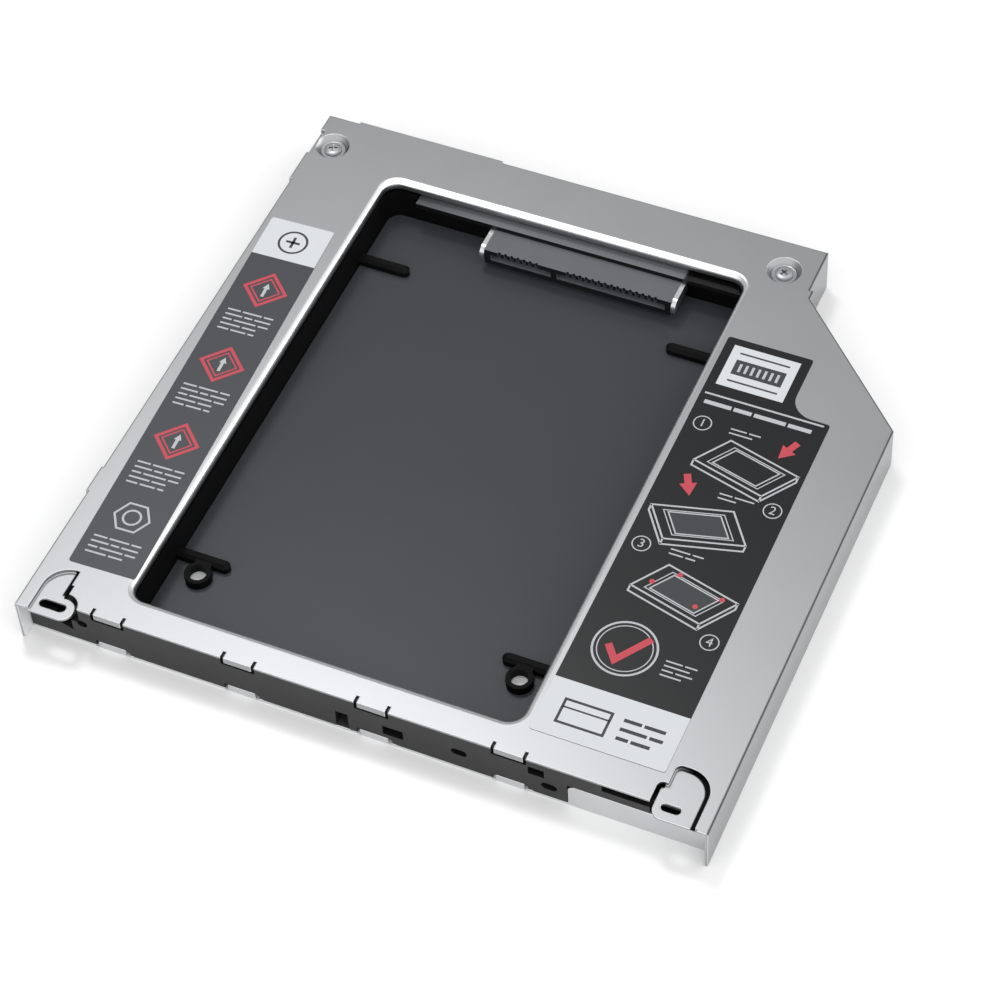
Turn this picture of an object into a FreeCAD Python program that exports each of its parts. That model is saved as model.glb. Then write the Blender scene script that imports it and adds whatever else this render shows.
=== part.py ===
# Laptop drive caddy: an empty tray in the shape of a 9.5 mm optical drive, which holds a 2.5 inch drive.
# Millimetres. The drawing origin is the front left corner on the surface it lies on, X runs to the right,
# Y to the rear and Z up. The finished pieces are moved so that the origin is the middle of the underside.
import FreeCAD, Part
import math
import os

V = FreeCAD.Vector

# The 2.5 inch drive that the bay takes
DRIVE_HOLE_SPACING_X = 61.72
DRIVE_HOLE_SPACING_Y = 76.6
DRIVE_HOLE_RADIUS = 1.6
HOLE_FROM_SIDE = 5.79
HOLE_FROM_FRONT = 13.3
HOLE_FROM_REAR = 17.9

# Window in the top cover, with the bay below it
WINDOW_LEFT = 17.6
WINDOW_RIGHT = WINDOW_LEFT + 2 * HOLE_FROM_SIDE + DRIVE_HOLE_SPACING_X
WINDOW_FRONT = 8.9
DRIVE_FRONT_HOLE_Y = WINDOW_FRONT + HOLE_FROM_FRONT
WINDOW_REAR = DRIVE_FRONT_HOLE_Y + DRIVE_HOLE_SPACING_Y + HOLE_FROM_REAR
WINDOW_CORNER = 3.0
BAY_MIDDLE = (WINDOW_LEFT + WINDOW_RIGHT) / 2
RIM_DROP = 1.8

# Overall form
COVER_TOP = 9.4
RIGHT_RAIL = 11.7
WING = 25.4
REAR_BAR = 11.8
BLOCK_WIDTH = WINDOW_RIGHT + RIGHT_RAIL
WIDTH = BLOCK_WIDTH + WING
DEPTH = WINDOW_REAR + REAR_BAR
CORNER_JOG = 0.7
JOG_Y = DEPTH - 10.1
CHAMFER_END = JOG_Y - 2.0
CHAMFER_START = CHAMFER_END - WING + CORNER_JOG
SIDE_LUG_OUT = 0.4
SIDE_LUGS = ((26.9, 32.9), (DEPTH - 18.5, DEPTH))
PLUG_LIP = 0.3

# Stock and clearances
SHEET = 0.5
SHEET_BEND = 0.35
RIM_BEND = 1.2
FIT = 0.15
LABEL_THICKNESS = 0.1
FILM_THICKNESS = 0.25

# Front edge of the covers
FRONT_SETBACK = 2.75
CORNER_STRIP = 2.0
TAB_FIRST = 16.5
TAB_PITCH = (BLOCK_WIDTH - 10.95 - TAB_FIRST) / 3
TAB_STATIONS = [TAB_FIRST + place * TAB_PITCH for place in range(4)]
TAB_WIDTH = 5.2
TAB_SLIT = 0.6
TAB_SLIT_DEPTH = 1.4
TOP_TAB_DROP = 1.4
BOTTOM_TAB_RISE = 1.6

# Pressed ears with screw slots at the two front corners
EAR_PRESS = 0.9
EAR_GAP = 0.65
EAR_OUTER_RADIUS = 5.1
LEFT_EAR = dict(outer=2.0, inner=8.0, rear=10.8, inner_radius=0.8, overhang=2.1, front=0.2, back=4.6,
                tip_radii=(2.1, 2.1), slit=0.9, wall_start=7.2, slot_from_tip=4.1, slot_y=2.6, slot_length=5.1,
                slot_width=1.95)
RIGHT_EAR = dict(outer=1.9, inner=10.1, rear=11.6, inner_radius=1.7, overhang=0.5, front=0.5, back=6.4,
                 tip_radii=(2.0, 0.5), slit=0.0, wall_start=7.05, slot_from_tip=3.0, slot_y=3.0, slot_length=3.5,
                 slot_width=1.6)

# Screw dimples at the rear corners
DIMPLES = dict(left=(3.8, DEPTH - 7.6), right=(BLOCK_WIDTH - 6.1, DEPTH - 7.2))
DIMPLE_DEPTH = 1.2
DIMPLE_RADIUS = 3.3
DIMPLE_FLOOR_RADIUS = 2.3

# Inner frame
WALL = 1.5
DECK = 1.2
LEDGE = 0.3
LEDGE_HEIGHT = 6.9
RIB = 1.2
LONG_RIBS = (WINDOW_LEFT / 2, BLOCK_WIDTH + 0.4, BLOCK_WIDTH + 12.0)
LEFT_RIBS = (38.0, 58.0, 78.0)
RIGHT_RIBS = (26.0, 48.0, 70.0)
BAR_RIBS = [BAY_MIDDLE + away for away in (-25.25, -0.25, 24.75)]
REAR_RIBS = [BAY_MIDDLE + away for away in (-6.25, 5.75, 17.75)]
FINGER_LENGTH = 10.4
FINGER_WIDTH = 2.1
FINGER_TOP = 2.5
FINGER_BEVEL = 0.6
FINGER_BEHIND_HOLE = 3.45
BOSS_HALF = 2.1
COLLAR_RADIUS = 2.45
COLLAR_TOP = 2.3
FILM_OPENING_RADIUS = COLLAR_RADIUS + FIT

# Front flange of the bottom cover
FLANGE_START = BLOCK_WIDTH - 0.4
FLANGE_HEIGHT = 5.4
FLANGE_CORNER = 1.2

# Openings in the front bar, as (middle, height, width, tall) slots and (left, right, low, high) boxes
THIRD_TAB, FOURTH_TAB = TAB_STATIONS[2:]
CLIP_SLOTS = ((11.2, 5.4, 2.0, 1.7), (FOURTH_TAB - 9.15, 4.6, 2.9, 1.6), (FOURTH_TAB + 7.15, 3.3, 2.9, 1.7))
CLIP_BOXES = ((THIRD_TAB + 1.8, THIRD_TAB + 5.6, 2.7, 5.0), (FOURTH_TAB + 3.45, FOURTH_TAB + 6.35, 5.4, 7.4))
CORNER_RECESS = dict(left=WIDTH - 19.7, right=WIDTH - 10.0, low=7.3, deeper=2.5)

# Adapter board
BOARD_UNDERSIDE = 5.6
BOARD_THICKNESS = 1.0
BOARD_LEFT = 7.0
BOARD_RIGHT = WINDOW_RIGHT + 0.9
BOARD_FRONT = WINDOW_REAR - 1.8
BOARD_REAR = DEPTH - 2.0
BOARD_STEP_X = 24.0
BOARD_STEP_Y = WINDOW_REAR + 1.9
CAPACITOR = dict(length=3.2, width=1.6, height=1.6)
CAPACITOR_Y = DEPTH - 7.5
CAPACITOR_PLACES = [BAY_MIDDLE + away for away in (-8.25, -2.25, 15.75)]

# Socket for the drive
CONTACT_PITCH = 1.27
SEGMENT_GAP = 6.35
SIGNAL_WAYS = 7
POWER_WAYS = 15
CONTACT_WIDTH = 0.6
CONTACT_STOCK = 0.3
CONTACT_PLAY = 0.05
CONTACT_SPAN = (SIGNAL_WAYS + POWER_WAYS - 2) * CONTACT_PITCH + SEGMENT_GAP
SOCKET_MIDDLE = BAY_MIDDLE + 5.35
SOCKET_LENGTH = CONTACT_SPAN + 6.25
SOCKET_FRONT = WINDOW_REAR - 7.3
SOCKET_BOTTOM = 2.0
SOCKET_MOUTH_LENGTH = CONTACT_SPAN + 3.65
SOCKET_MOUTH_BOTTOM = 3.2
SOCKET_MOUTH_TOP = 4.5
SOCKET_MOUTH_DEPTH = 5.4
COMB_DEPTH = 0.3
CONTACT_SETBACK = 0.6
LUG_WIDTH = 0.9
LUG_AHEAD = 0.3
LUG_BOTTOM = 3.2
LUG_NOSE = 1.6

# Plug for the laptop
PLUG_LEFT = 7.2
PLUG_RIGHT = 35.6
PLUG_FRONT = DEPTH - 8.7
PLUG_BOTTOM = 1.0
PLUG_END = 1.6
PLUG_FLOOR = 0.7
PLUG_ROOF = 0.8
PLUG_OPENING_LEFT = PLUG_LEFT - 1.1
PLUG_OPENING_RIGHT = PLUG_RIGHT + 0.8
SLIM_POWER_WAYS = 6
SLIM_POWER_PITCH = 1.0
SLIM_SIGNAL_MIDDLE = PLUG_LEFT + 8.6
SLIM_POWER_MIDDLE = PLUG_RIGHT - 7.0
SLIM_TONGUE_SPARE = 1.4
SLIM_TONGUE_BOTTOM = 2.7
SLIM_TONGUE_TOP = 3.8
SLIM_TONGUE_LENGTH = 5.4
SLIM_MOUTH_DEPTH = 6.2
SLIM_CONTACT_STOCK = 0.15

# Screws
REAR_SCREW = dict(head=1.7, head_height=0.8, shaft=0.75, length=4.6)
BOARD_SCREW = dict(head=1.6, head_height=0.9, shaft=0.8, length=4.2)
BOTTOM_SCREW_HEAD = 1.75
BOTTOM_SCREW_SHAFT = 0.8
BOTTOM_SCREW_LENGTH = 4.5
PILOT_CLEARANCE = 0.05
PILOT_SPARE = 0.3
SCREW_PLAY = 0.2
BOARD_SCREW_X = (PLUG_RIGHT + 2.4, WINDOW_RIGHT - 6.4)
BOARD_SCREW_Y = DEPTH - 6.9
BOTTOM_SCREWS = dict(front_left=(WINDOW_LEFT / 2, 14.5), front_right=(WIDTH - 8.0, 15.0),
                     rear_left=(WINDOW_LEFT / 2, DEPTH - 20.5), rear_right=(BLOCK_WIDTH + 9.4, CHAMFER_END - 19.4))

# Labels
LEFT_LABEL_WIDTH = 12.9
LEFT_LABEL_LENGTH = 87.8
LEFT_LABEL_FRONT = 11.9
LEFT_LABEL_ASIDE = 0.45
LEFT_LABEL_MIDDLE = (WINDOW_LEFT / 2 + LEFT_LABEL_ASIDE, LEFT_LABEL_FRONT + LEFT_LABEL_LENGTH / 2)
LEFT_LABEL_TURN = 2.0
RIGHT_LABEL_FRONT = 8.6
LABEL_FROM_WINDOW = 1.9
LABEL_FROM_SIDE = 10.8
LABEL_HEAD_PAST_BLOCK = 6.6
LABEL_BEFORE_CHAMFER = 3.0
LABEL_BEFORE_JOG = 16.2
RIGHT_LABEL_LEFT = WINDOW_RIGHT + LABEL_FROM_WINDOW
RIGHT_LABEL_RIGHT = WIDTH - LABEL_FROM_SIDE
RIGHT_LABEL_SHOULDER = CHAMFER_START - LABEL_BEFORE_CHAMFER
RIGHT_LABEL_NECK = BLOCK_WIDTH + LABEL_HEAD_PAST_BLOCK
RIGHT_LABEL_REAR = JOG_Y - LABEL_BEFORE_JOG
RIGHT_LABEL_SWEEP = 4.5

# Sizes worked out from those above
COVER_UNDERSIDE = COVER_TOP - SHEET
INSIDE = SHEET + FIT
FILM_TOP = SHEET + FILM_THICKNESS
BOARD_TOP = BOARD_UNDERSIDE + BOARD_THICKNESS
FINGER_FRONT_Y = DRIVE_FRONT_HOLE_Y + FINGER_BEHIND_HOLE
FINGER_ROWS = (FINGER_FRONT_Y, FINGER_FRONT_Y + DRIVE_HOLE_SPACING_Y)
DRIVE_HOLES = [(BAY_MIDDLE + side * DRIVE_HOLE_SPACING_X / 2, DRIVE_FRONT_HOLE_Y) for side in (-1, 1)]
ORIGIN = V((WIDTH - SIDE_LUG_OUT) / 2, (DEPTH + PLUG_LIP) / 2, 0)


def box(x0, x1, y0, y1, z0, z1):
    return Part.makeBox(x1 - x0, y1 - y0, z1 - z0, V(x0, y0, z0))


def post(x, y, radius, z0, z1):
    return Part.makeCylinder(radius, z1 - z0, V(x, y, z0))


def prism(points, z0, z1):
    """A straight-sided outline in plan, raised from z0 to z1."""
    corners = [V(x, y, z0) for x, y in points]
    face = Part.Face(Part.makePolygon(corners + corners[:1]))
    return face.extrude(V(0, 0, z1 - z0))


def rounded_block(x0, x1, y0, y1, z0, z1, radius):
    """A block whose four upright edges are rounded."""
    block = box(x0, x1, y0, y1, z0, z1)
    upright = [edge for edge in block.Edges if abs(edge.tangentAt(edge.FirstParameter).z) > 0.9]
    return block.makeFillet(radius, upright)


def slot_block(x0, x1, y, half, z0, z1):
    """A slot shape along X with round ends, x0 and x1 being its tips."""
    middle = box(x0 + half, x1 - half, y - half, y + half, z0, z1)
    return middle.fuse([post(x0 + half, y, half, z0, z1), post(x1 - half, y, half, z0, z1)]).removeSplitter()


def turned(profile, x, y):
    """A profile of (radius, height) points turned about the upright line through x, y."""
    corners = [V(r, 0, z) for r, z in profile]
    face = Part.Face(Part.makePolygon(corners + corners[:1]))
    solid = face.revolve(V(0, 0, 0), V(0, 0, 1), 360)
    solid.translate(V(x, y, 0))
    return solid


def front_profile(points, y0, y1):
    """An outline of (x, z) points seen from the front, running from y0 back to y1."""
    corners = [V(x, y0, z) for x, z in points]
    face = Part.Face(Part.makePolygon(corners + corners[:1]))
    return face.extrude(V(0, y1 - y0, 0))


def front_slot(x, z, width, height, y0, y1):
    """A slot with round ends seen from the front, its middle at x, z."""
    half = height / 2
    reach = width / 2 - half
    core = box(x - reach, x + reach, y0, y1, z - half, z + half)
    ends = [Part.makeCylinder(half, y1 - y0, V(x + side * reach, y0, z), V(0, 1, 0)) for side in (-1, 1)]
    return core.fuse(ends).removeSplitter()


def body_outline(inset, front):
    """Plan of the caddy, drawn inside its outer faces by inset: a rectangle with one rear corner cut."""
    bevel = inset * (math.sqrt(2) - 1)
    jog_x = BLOCK_WIDTH + CORNER_JOG
    return [
        (inset, front),
        (WIDTH - inset, front),
        (WIDTH - inset, CHAMFER_START - bevel),
        (jog_x - inset, CHAMFER_END - bevel),
        (jog_x - inset, JOG_Y - inset),
        (BLOCK_WIDTH - inset, JOG_Y - inset),
        (BLOCK_WIDTH - inset, DEPTH - inset),
        (inset, DEPTH - inset),
    ]


def window_block(grow, z0, z1):
    """The window's outline, larger by grow all round."""
    return rounded_block(WINDOW_LEFT - grow, WINDOW_RIGHT + grow, WINDOW_FRONT - grow, WINDOW_REAR + grow,
                         z0, z1, WINDOW_CORNER + grow)


def level_edges(solid, z, keep=lambda middle: True):
    """Edges that lie flat at height z, chosen by where their middle is."""
    chosen = []
    for edge in solid.Edges:
        bounds = edge.BoundBox
        if abs(bounds.ZMin - z) < 1e-4 and abs(bounds.ZMax - z) < 1e-4 and keep(bounds.Center):
            chosen.append(edge)
    return chosen


def cover_shell():
    """The top cover's folded tray, open below and at the front."""
    outer = prism(body_outline(0, 0), 0, COVER_TOP)
    lugs = [box(-SIDE_LUG_OUT, INSIDE, y0, y1, 0, COVER_TOP) for y0, y1 in SIDE_LUGS]
    outer = outer.fuse(lugs).removeSplitter()
    outer = outer.makeFillet(SHEET_BEND, level_edges(outer, COVER_TOP, lambda middle: middle.y > 1))
    inner = prism(body_outline(SHEET, -1), -1, COVER_UNDERSIDE)
    rooms = [box(SHEET - SIDE_LUG_OUT, INSIDE, y0 + SHEET, y1 - SHEET, -1, COVER_UNDERSIDE)
             for y0, y1 in SIDE_LUGS]
    return outer.cut([inner] + rooms)


def near_window(middle):
    return (WINDOW_LEFT - 1 < middle.x < WINDOW_RIGHT + 1) and (WINDOW_FRONT - 1 < middle.y < WINDOW_REAR + 1)


def rim_hollow():
    """What lies behind the window's rim; its bevel leaves the sheet its thickness inside the bend."""
    low = COVER_TOP - RIM_DROP - 1
    ring = window_block(RIM_BEND + SHEET, low, COVER_UNDERSIDE).cut(window_block(SHEET, low - 1, COVER_TOP))
    return ring.makeChamfer(RIM_BEND - SHEET, level_edges(ring, COVER_UNDERSIDE, near_window))


def add_window(cover):
    """The cover with its window cut and a rim turned down all round."""
    block = window_block(RIM_BEND, COVER_TOP - RIM_DROP, COVER_TOP)
    cover = cover.fuse(block).cut(window_block(0, -1, COVER_TOP + 1)).removeSplitter()
    return cover.makeFillet(RIM_BEND, level_edges(cover, COVER_TOP, near_window)).cut(rim_hollow())


def dimple(x, y):
    """Round pressing that sinks a screw head below the cover."""
    low = COVER_TOP - DIMPLE_DEPTH
    hole = REAR_SCREW["shaft"] + SCREW_PLAY
    slope = SHEET / 2
    return turned([
        (hole, low), (DIMPLE_FLOOR_RADIUS, low), (DIMPLE_RADIUS, COVER_TOP),
        (DIMPLE_RADIUS + SHEET, COVER_TOP), (DIMPLE_RADIUS + SHEET, COVER_UNDERSIDE),
        (DIMPLE_RADIUS + slope, COVER_UNDERSIDE), (DIMPLE_FLOOR_RADIUS + slope, low - SHEET),
        (hole, low - SHEET),
    ], x, y)


def ear_tip(ear):
    """How far in from the side an ear's tongue reaches."""
    return ear["inner"] + ear["overhang"]


def ear_plan(ear, grow, front, z0, z1):
    """Plan of an ear's pressing, drawn from the left side of the caddy, larger by grow."""
    outer = ear["outer"] - grow
    inner = ear["inner"] + grow
    rear = ear["rear"] + grow
    big = EAR_OUTER_RADIUS + grow
    small = ear["inner_radius"] + grow
    turn = math.sqrt(0.5)
    edges = [
        Part.LineSegment(V(inner, front, z0), V(outer, front, z0)),
        Part.LineSegment(V(outer, front, z0), V(outer, rear - big, z0)),
        Part.Arc(V(outer, rear - big, z0),
                 V(outer + big * (1 - turn), rear - big * (1 - turn), z0), V(outer + big, rear, z0)),
    ]
    if inner - small - outer - big > 0.01:
        edges.append(Part.LineSegment(V(outer + big, rear, z0), V(inner - small, rear, z0)))
    edges.append(Part.Arc(V(inner - small, rear, z0),
                          V(inner - small * (1 - turn), rear - small * (1 - turn), z0),
                          V(inner, rear - small, z0)))
    edges.append(Part.LineSegment(V(inner, rear - small, z0), V(inner, front, z0)))
    wire = Part.Wire([edge.toShape() for edge in edges])
    return Part.Face(wire).extrude(V(0, 0, z1 - z0))


def ear_tongue(ear, grow, z0, z1):
    """Plan of the tongue that carries an ear's slot, larger by grow except at its root."""
    tongue = box(ear["outer"] + SHEET, ear_tip(ear) + grow, ear["front"] - grow, ear["back"] + grow, z0, z1)
    middle_y = (ear["front"] + ear["back"]) / 2
    for radius, ahead in zip(ear["tip_radii"], (True, False)):
        corner = [edge for edge in tongue.Edges if edge.BoundBox.ZLength > (z1 - z0) / 2
                  and edge.BoundBox.Center.x > ear["inner"] and (edge.BoundBox.Center.y < middle_y) == ahead]
        tongue = tongue.makeFillet(radius + grow, corner)
    return tongue


def ear_cutter(ear):
    """What the pressing takes out of the flat cover: its floor area and the gap round the tongue."""
    low = COVER_UNDERSIDE - EAR_PRESS
    return ear_plan(ear, 0, -1, low, COVER_TOP + 1).fuse(ear_tongue(ear, EAR_GAP, low, COVER_TOP + 1))


def ear_pressing(ear):
    """The sunken floor of an ear with its curved wall and its slotted tongue."""
    floor_top = COVER_TOP - EAR_PRESS
    low = floor_top - SHEET
    tray = ear_plan(ear, 0, ear["front"], low, COVER_TOP)
    tray = tray.cut(ear_plan(ear, -SHEET, -1, floor_top, COVER_TOP + 1))
    open_wall = box(ear["inner"] - 2 * SHEET, ear["inner"] + 1, -1, ear["wall_start"], floor_top, COVER_TOP + 1)
    slit = box(ear["inner"] - ear["slit"], ear["inner"] + 1, ear["back"], ear["wall_start"], low - 1, COVER_TOP + 1)
    slot_x = ear_tip(ear) - ear["slot_from_tip"]
    tip = box(slot_x, ear_tip(ear), -1, (ear["front"] + ear["back"]) / 2, low - 1, COVER_TOP + 1)
    pressing = tray.cut([open_wall, slit, tip]).fuse(ear_tongue(ear, 0, low, floor_top)).removeSplitter()
    half_slot = ear["slot_length"] / 2
    slot = slot_block(slot_x - half_slot, slot_x + half_slot, ear["slot_y"], ear["slot_width"] / 2,
                      low - 1, COVER_TOP)
    return pressing.cut(slot)


def left_hand(solid):
    return solid


def right_hand(solid):
    """The same shape on the other side of the caddy."""
    return solid.mirror(V(WIDTH / 2, 0, 0), V(1, 0, 0))


EARS = ((LEFT_EAR, left_hand), (RIGHT_EAR, right_hand))


def top_tab(station):
    """Tab folded down from the cover's front edge over the frame."""
    left = station - TAB_WIDTH / 2
    tab = box(left, left + TAB_WIDTH, FRONT_SETBACK, FRONT_SETBACK + SHEET, COVER_TOP - TOP_TAB_DROP, COVER_TOP)
    return tab


def tab_slits(station, z0, z1):
    """Relief slits on both sides of a folded tab."""
    reach = TAB_WIDTH / 2
    y0, y1 = FRONT_SETBACK - 1, FRONT_SETBACK + TAB_SLIT_DEPTH
    return [box(station - reach - TAB_SLIT, station - reach, y0, y1, z0, z1),
            box(station + reach, station + reach + TAB_SLIT, y0, y1, z0, z1)]


def top_cover():
    cover = cover_shell()
    cover = cover.cut(box(CORNER_STRIP, WIDTH - CORNER_STRIP, -1, FRONT_SETBACK, -1, COVER_TOP + 1))
    cover = add_window(cover)
    for x, y in DIMPLES.values():
        cover = cover.cut(post(x, y, DIMPLE_RADIUS + SHEET, COVER_UNDERSIDE - 0.1, COVER_TOP + 1))
        cover = cover.fuse(dimple(x, y))
    dimple_y = DIMPLES["left"][1]
    open_side = box(-1, SHEET + 0.1, dimple_y - DIMPLE_RADIUS, dimple_y + DIMPLE_RADIUS,
                    COVER_TOP - DIMPLE_DEPTH, COVER_TOP + 1)
    cover = cover.cut(open_side)
    for ear, place in EARS:
        cover = cover.cut(place(ear_cutter(ear))).fuse(place(ear_pressing(ear)))
    for station in TAB_STATIONS:
        cover = cover.fuse(top_tab(station)).cut(tab_slits(station, COVER_UNDERSIDE - 1, COVER_TOP + 1))
    plug_opening = box(PLUG_OPENING_LEFT, PLUG_OPENING_RIGHT, DEPTH - 1, DEPTH + 1, -1, COVER_UNDERSIDE)
    lip = box(PLUG_OPENING_LEFT, PLUG_OPENING_RIGHT, DEPTH - 1, DEPTH + PLUG_LIP, COVER_UNDERSIDE, COVER_TOP)
    relief = box(BLOCK_WIDTH - SHEET, BLOCK_WIDTH + CORNER_JOG + 1, JOG_Y - 1.6, JOG_Y + 0.3, -1, COVER_UNDERSIDE)
    return cover.cut([plug_opening, relief]).fuse(lip).removeSplitter()


def bottom_cover():
    plate = prism(body_outline(INSIDE, FRONT_SETBACK), 0, SHEET)
    for station in TAB_STATIONS:
        left = station - TAB_WIDTH / 2
        tab = box(left, left + TAB_WIDTH, FRONT_SETBACK, FRONT_SETBACK + SHEET, 0, BOTTOM_TAB_RISE)
        plate = plate.fuse(tab).cut(tab_slits(station, -1, SHEET + 1))
    right = WIDTH - INSIDE
    flange = box(FLANGE_START, right, FRONT_SETBACK, FRONT_SETBACK + SHEET, 0, FLANGE_HEIGHT)
    corner = [edge for edge in flange.Edges if abs(edge.BoundBox.Center.x - FLANGE_START) < 1e-4
              and abs(edge.BoundBox.Center.z - FLANGE_HEIGHT) < 1e-4]
    plate = plate.fuse(flange.makeFillet(FLANGE_CORNER, corner))
    plate = plate.cut([post(x, y, DRIVE_HOLE_RADIUS, -1, SHEET + 1) for x, y in DRIVE_HOLES])
    for x, y in BOTTOM_SCREWS.values():
        plate = plate.cut(bottom_screw_blank(x, y, PILOT_CLEARANCE))
    return plate.removeSplitter()


def bottom_screw_blank(x, y, grow):
    """Countersunk screw that goes up from below."""
    head = BOTTOM_SCREW_HEAD + grow
    shaft = BOTTOM_SCREW_SHAFT + grow
    return turned([(0, 0), (head, 0), (shaft, SHEET), (shaft, BOTTOM_SCREW_LENGTH), (0, BOTTOM_SCREW_LENGTH)], x, y)


def boss(x, y, z0, z1):
    """Square screw boss."""
    return box(x - BOSS_HALF, x + BOSS_HALF, y - BOSS_HALF, y + BOSS_HALF, z0, z1)


def frame_ribs():
    """Stiffening ribs left standing in the hollow underside of the frame."""
    low, high = SHEET, COVER_UNDERSIDE
    long_ribs = [box(x - RIB / 2, x + RIB / 2, FRONT_SETBACK, DEPTH, low, high) for x in LONG_RIBS]
    left_rail = [box(INSIDE, WINDOW_LEFT, y, y + RIB, low, high) for y in LEFT_RIBS]
    right_rail = [box(WINDOW_RIGHT, WIDTH - INSIDE, y, y + RIB, low, high) for y in RIGHT_RIBS]
    bar = [box(x, x + RIB, FRONT_SETBACK, WINDOW_FRONT, low, high) for x in BAR_RIBS]
    return long_ribs + left_rail + right_rail + bar


def frame_hollow():
    """The hollow underside between the outer wall, the bay wall and the deck."""
    low, top = SHEET - 1, COVER_UNDERSIDE - DECK
    outer = prism(body_outline(INSIDE + WALL, FRONT_SETBACK + WALL), low, top)
    reach = WALL - LEDGE
    bay_wall = box(WINDOW_LEFT - reach, WINDOW_RIGHT + reach, WINDOW_FRONT - reach, WINDOW_REAR + reach, low, top)
    rear_bar = box(0, WIDTH, WINDOW_REAR - LEDGE, DEPTH, low, top)
    ear_deck = COVER_UNDERSIDE - EAR_PRESS - FIT - DECK
    decks = [place(box(0, ear_tip(ear) + WALL, 0, ear["rear"] + WALL, ear_deck, top)) for ear, place in EARS]
    bosses = [boss(x, y, low, top) for x, y in BOTTOM_SCREWS.values()]
    return outer.cut([bay_wall, rear_bar] + decks + bosses + frame_ribs())


def rear_hollow():
    """The hollow underside of the bar that carries the board."""
    top = BOARD_UNDERSIDE - DECK
    pocket = box(PLUG_RIGHT + FIT + WALL, BOARD_RIGHT, WINDOW_REAR - LEDGE + WALL, DEPTH - INSIDE - WALL,
                 SHEET - 1, top)
    bosses = [boss(x, BOARD_SCREW_Y, SHEET - 1, top) for x in BOARD_SCREW_X]
    ribs = [box(x, x + RIB, WINDOW_REAR - LEDGE, DEPTH, SHEET - 1, top) for x in REAR_RIBS]
    return pocket.cut(bosses + ribs)


def finger(row, side):
    """Round-ended support that reaches into the bay under the drive."""
    wall = WINDOW_LEFT if side < 0 else WINDOW_RIGHT
    tip = wall - side * FINGER_LENGTH
    half = FINGER_WIDTH / 2
    x0, x1 = sorted((tip, wall + side * (WALL - 2 * LEDGE)))
    bar = slot_block(x0, x1, row, half, FILM_TOP, FINGER_TOP)
    return bar.makeChamfer(FINGER_BEVEL, level_edges(bar, FINGER_TOP))


def collar(x, y):
    """Round collar over a drive screw's hole, with a web to the finger behind it."""
    web = box(x - DRIVE_HOLE_RADIUS, x + DRIVE_HOLE_RADIUS, y, y + FINGER_BEHIND_HOLE, FILM_TOP, COLLAR_TOP)
    bore = post(x, y, DRIVE_HOLE_RADIUS + PILOT_CLEARANCE, 0, COVER_TOP)
    return post(x, y, COLLAR_RADIUS, SHEET, COLLAR_TOP).fuse(web).cut(bore)


def clip_openings():
    """Openings in the front bar for the clips of a front panel."""
    y0 = FRONT_SETBACK - 1
    y1 = FRONT_SETBACK + WALL + 0.1
    ear_pocket = front_profile([(5.6, 4.3), (9.1, 2.8), (9.1, 6.6), (5.6, 6.6)], y0, y1)
    foot_x = THIRD_TAB - 7.1
    foot_notch = front_profile([(foot_x, 0), (foot_x + 2.5, 0), (foot_x + 2.4, 4.7), (foot_x + 0.1, 4.7)], y0, y1)
    slots = [front_slot(x, z, width, height, y0, y1) for x, z, width, height in CLIP_SLOTS]
    boxes = [box(x0, x1, y0, y1, low, high) for x0, x1, low, high in CLIP_BOXES]
    recess = box(CORNER_RECESS["left"], CORNER_RECESS["right"], y0, y1 + CORNER_RECESS["deeper"],
                 CORNER_RECESS["low"], COVER_UNDERSIDE + 1)
    return [ear_pocket, foot_notch, recess] + slots + boxes


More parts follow.
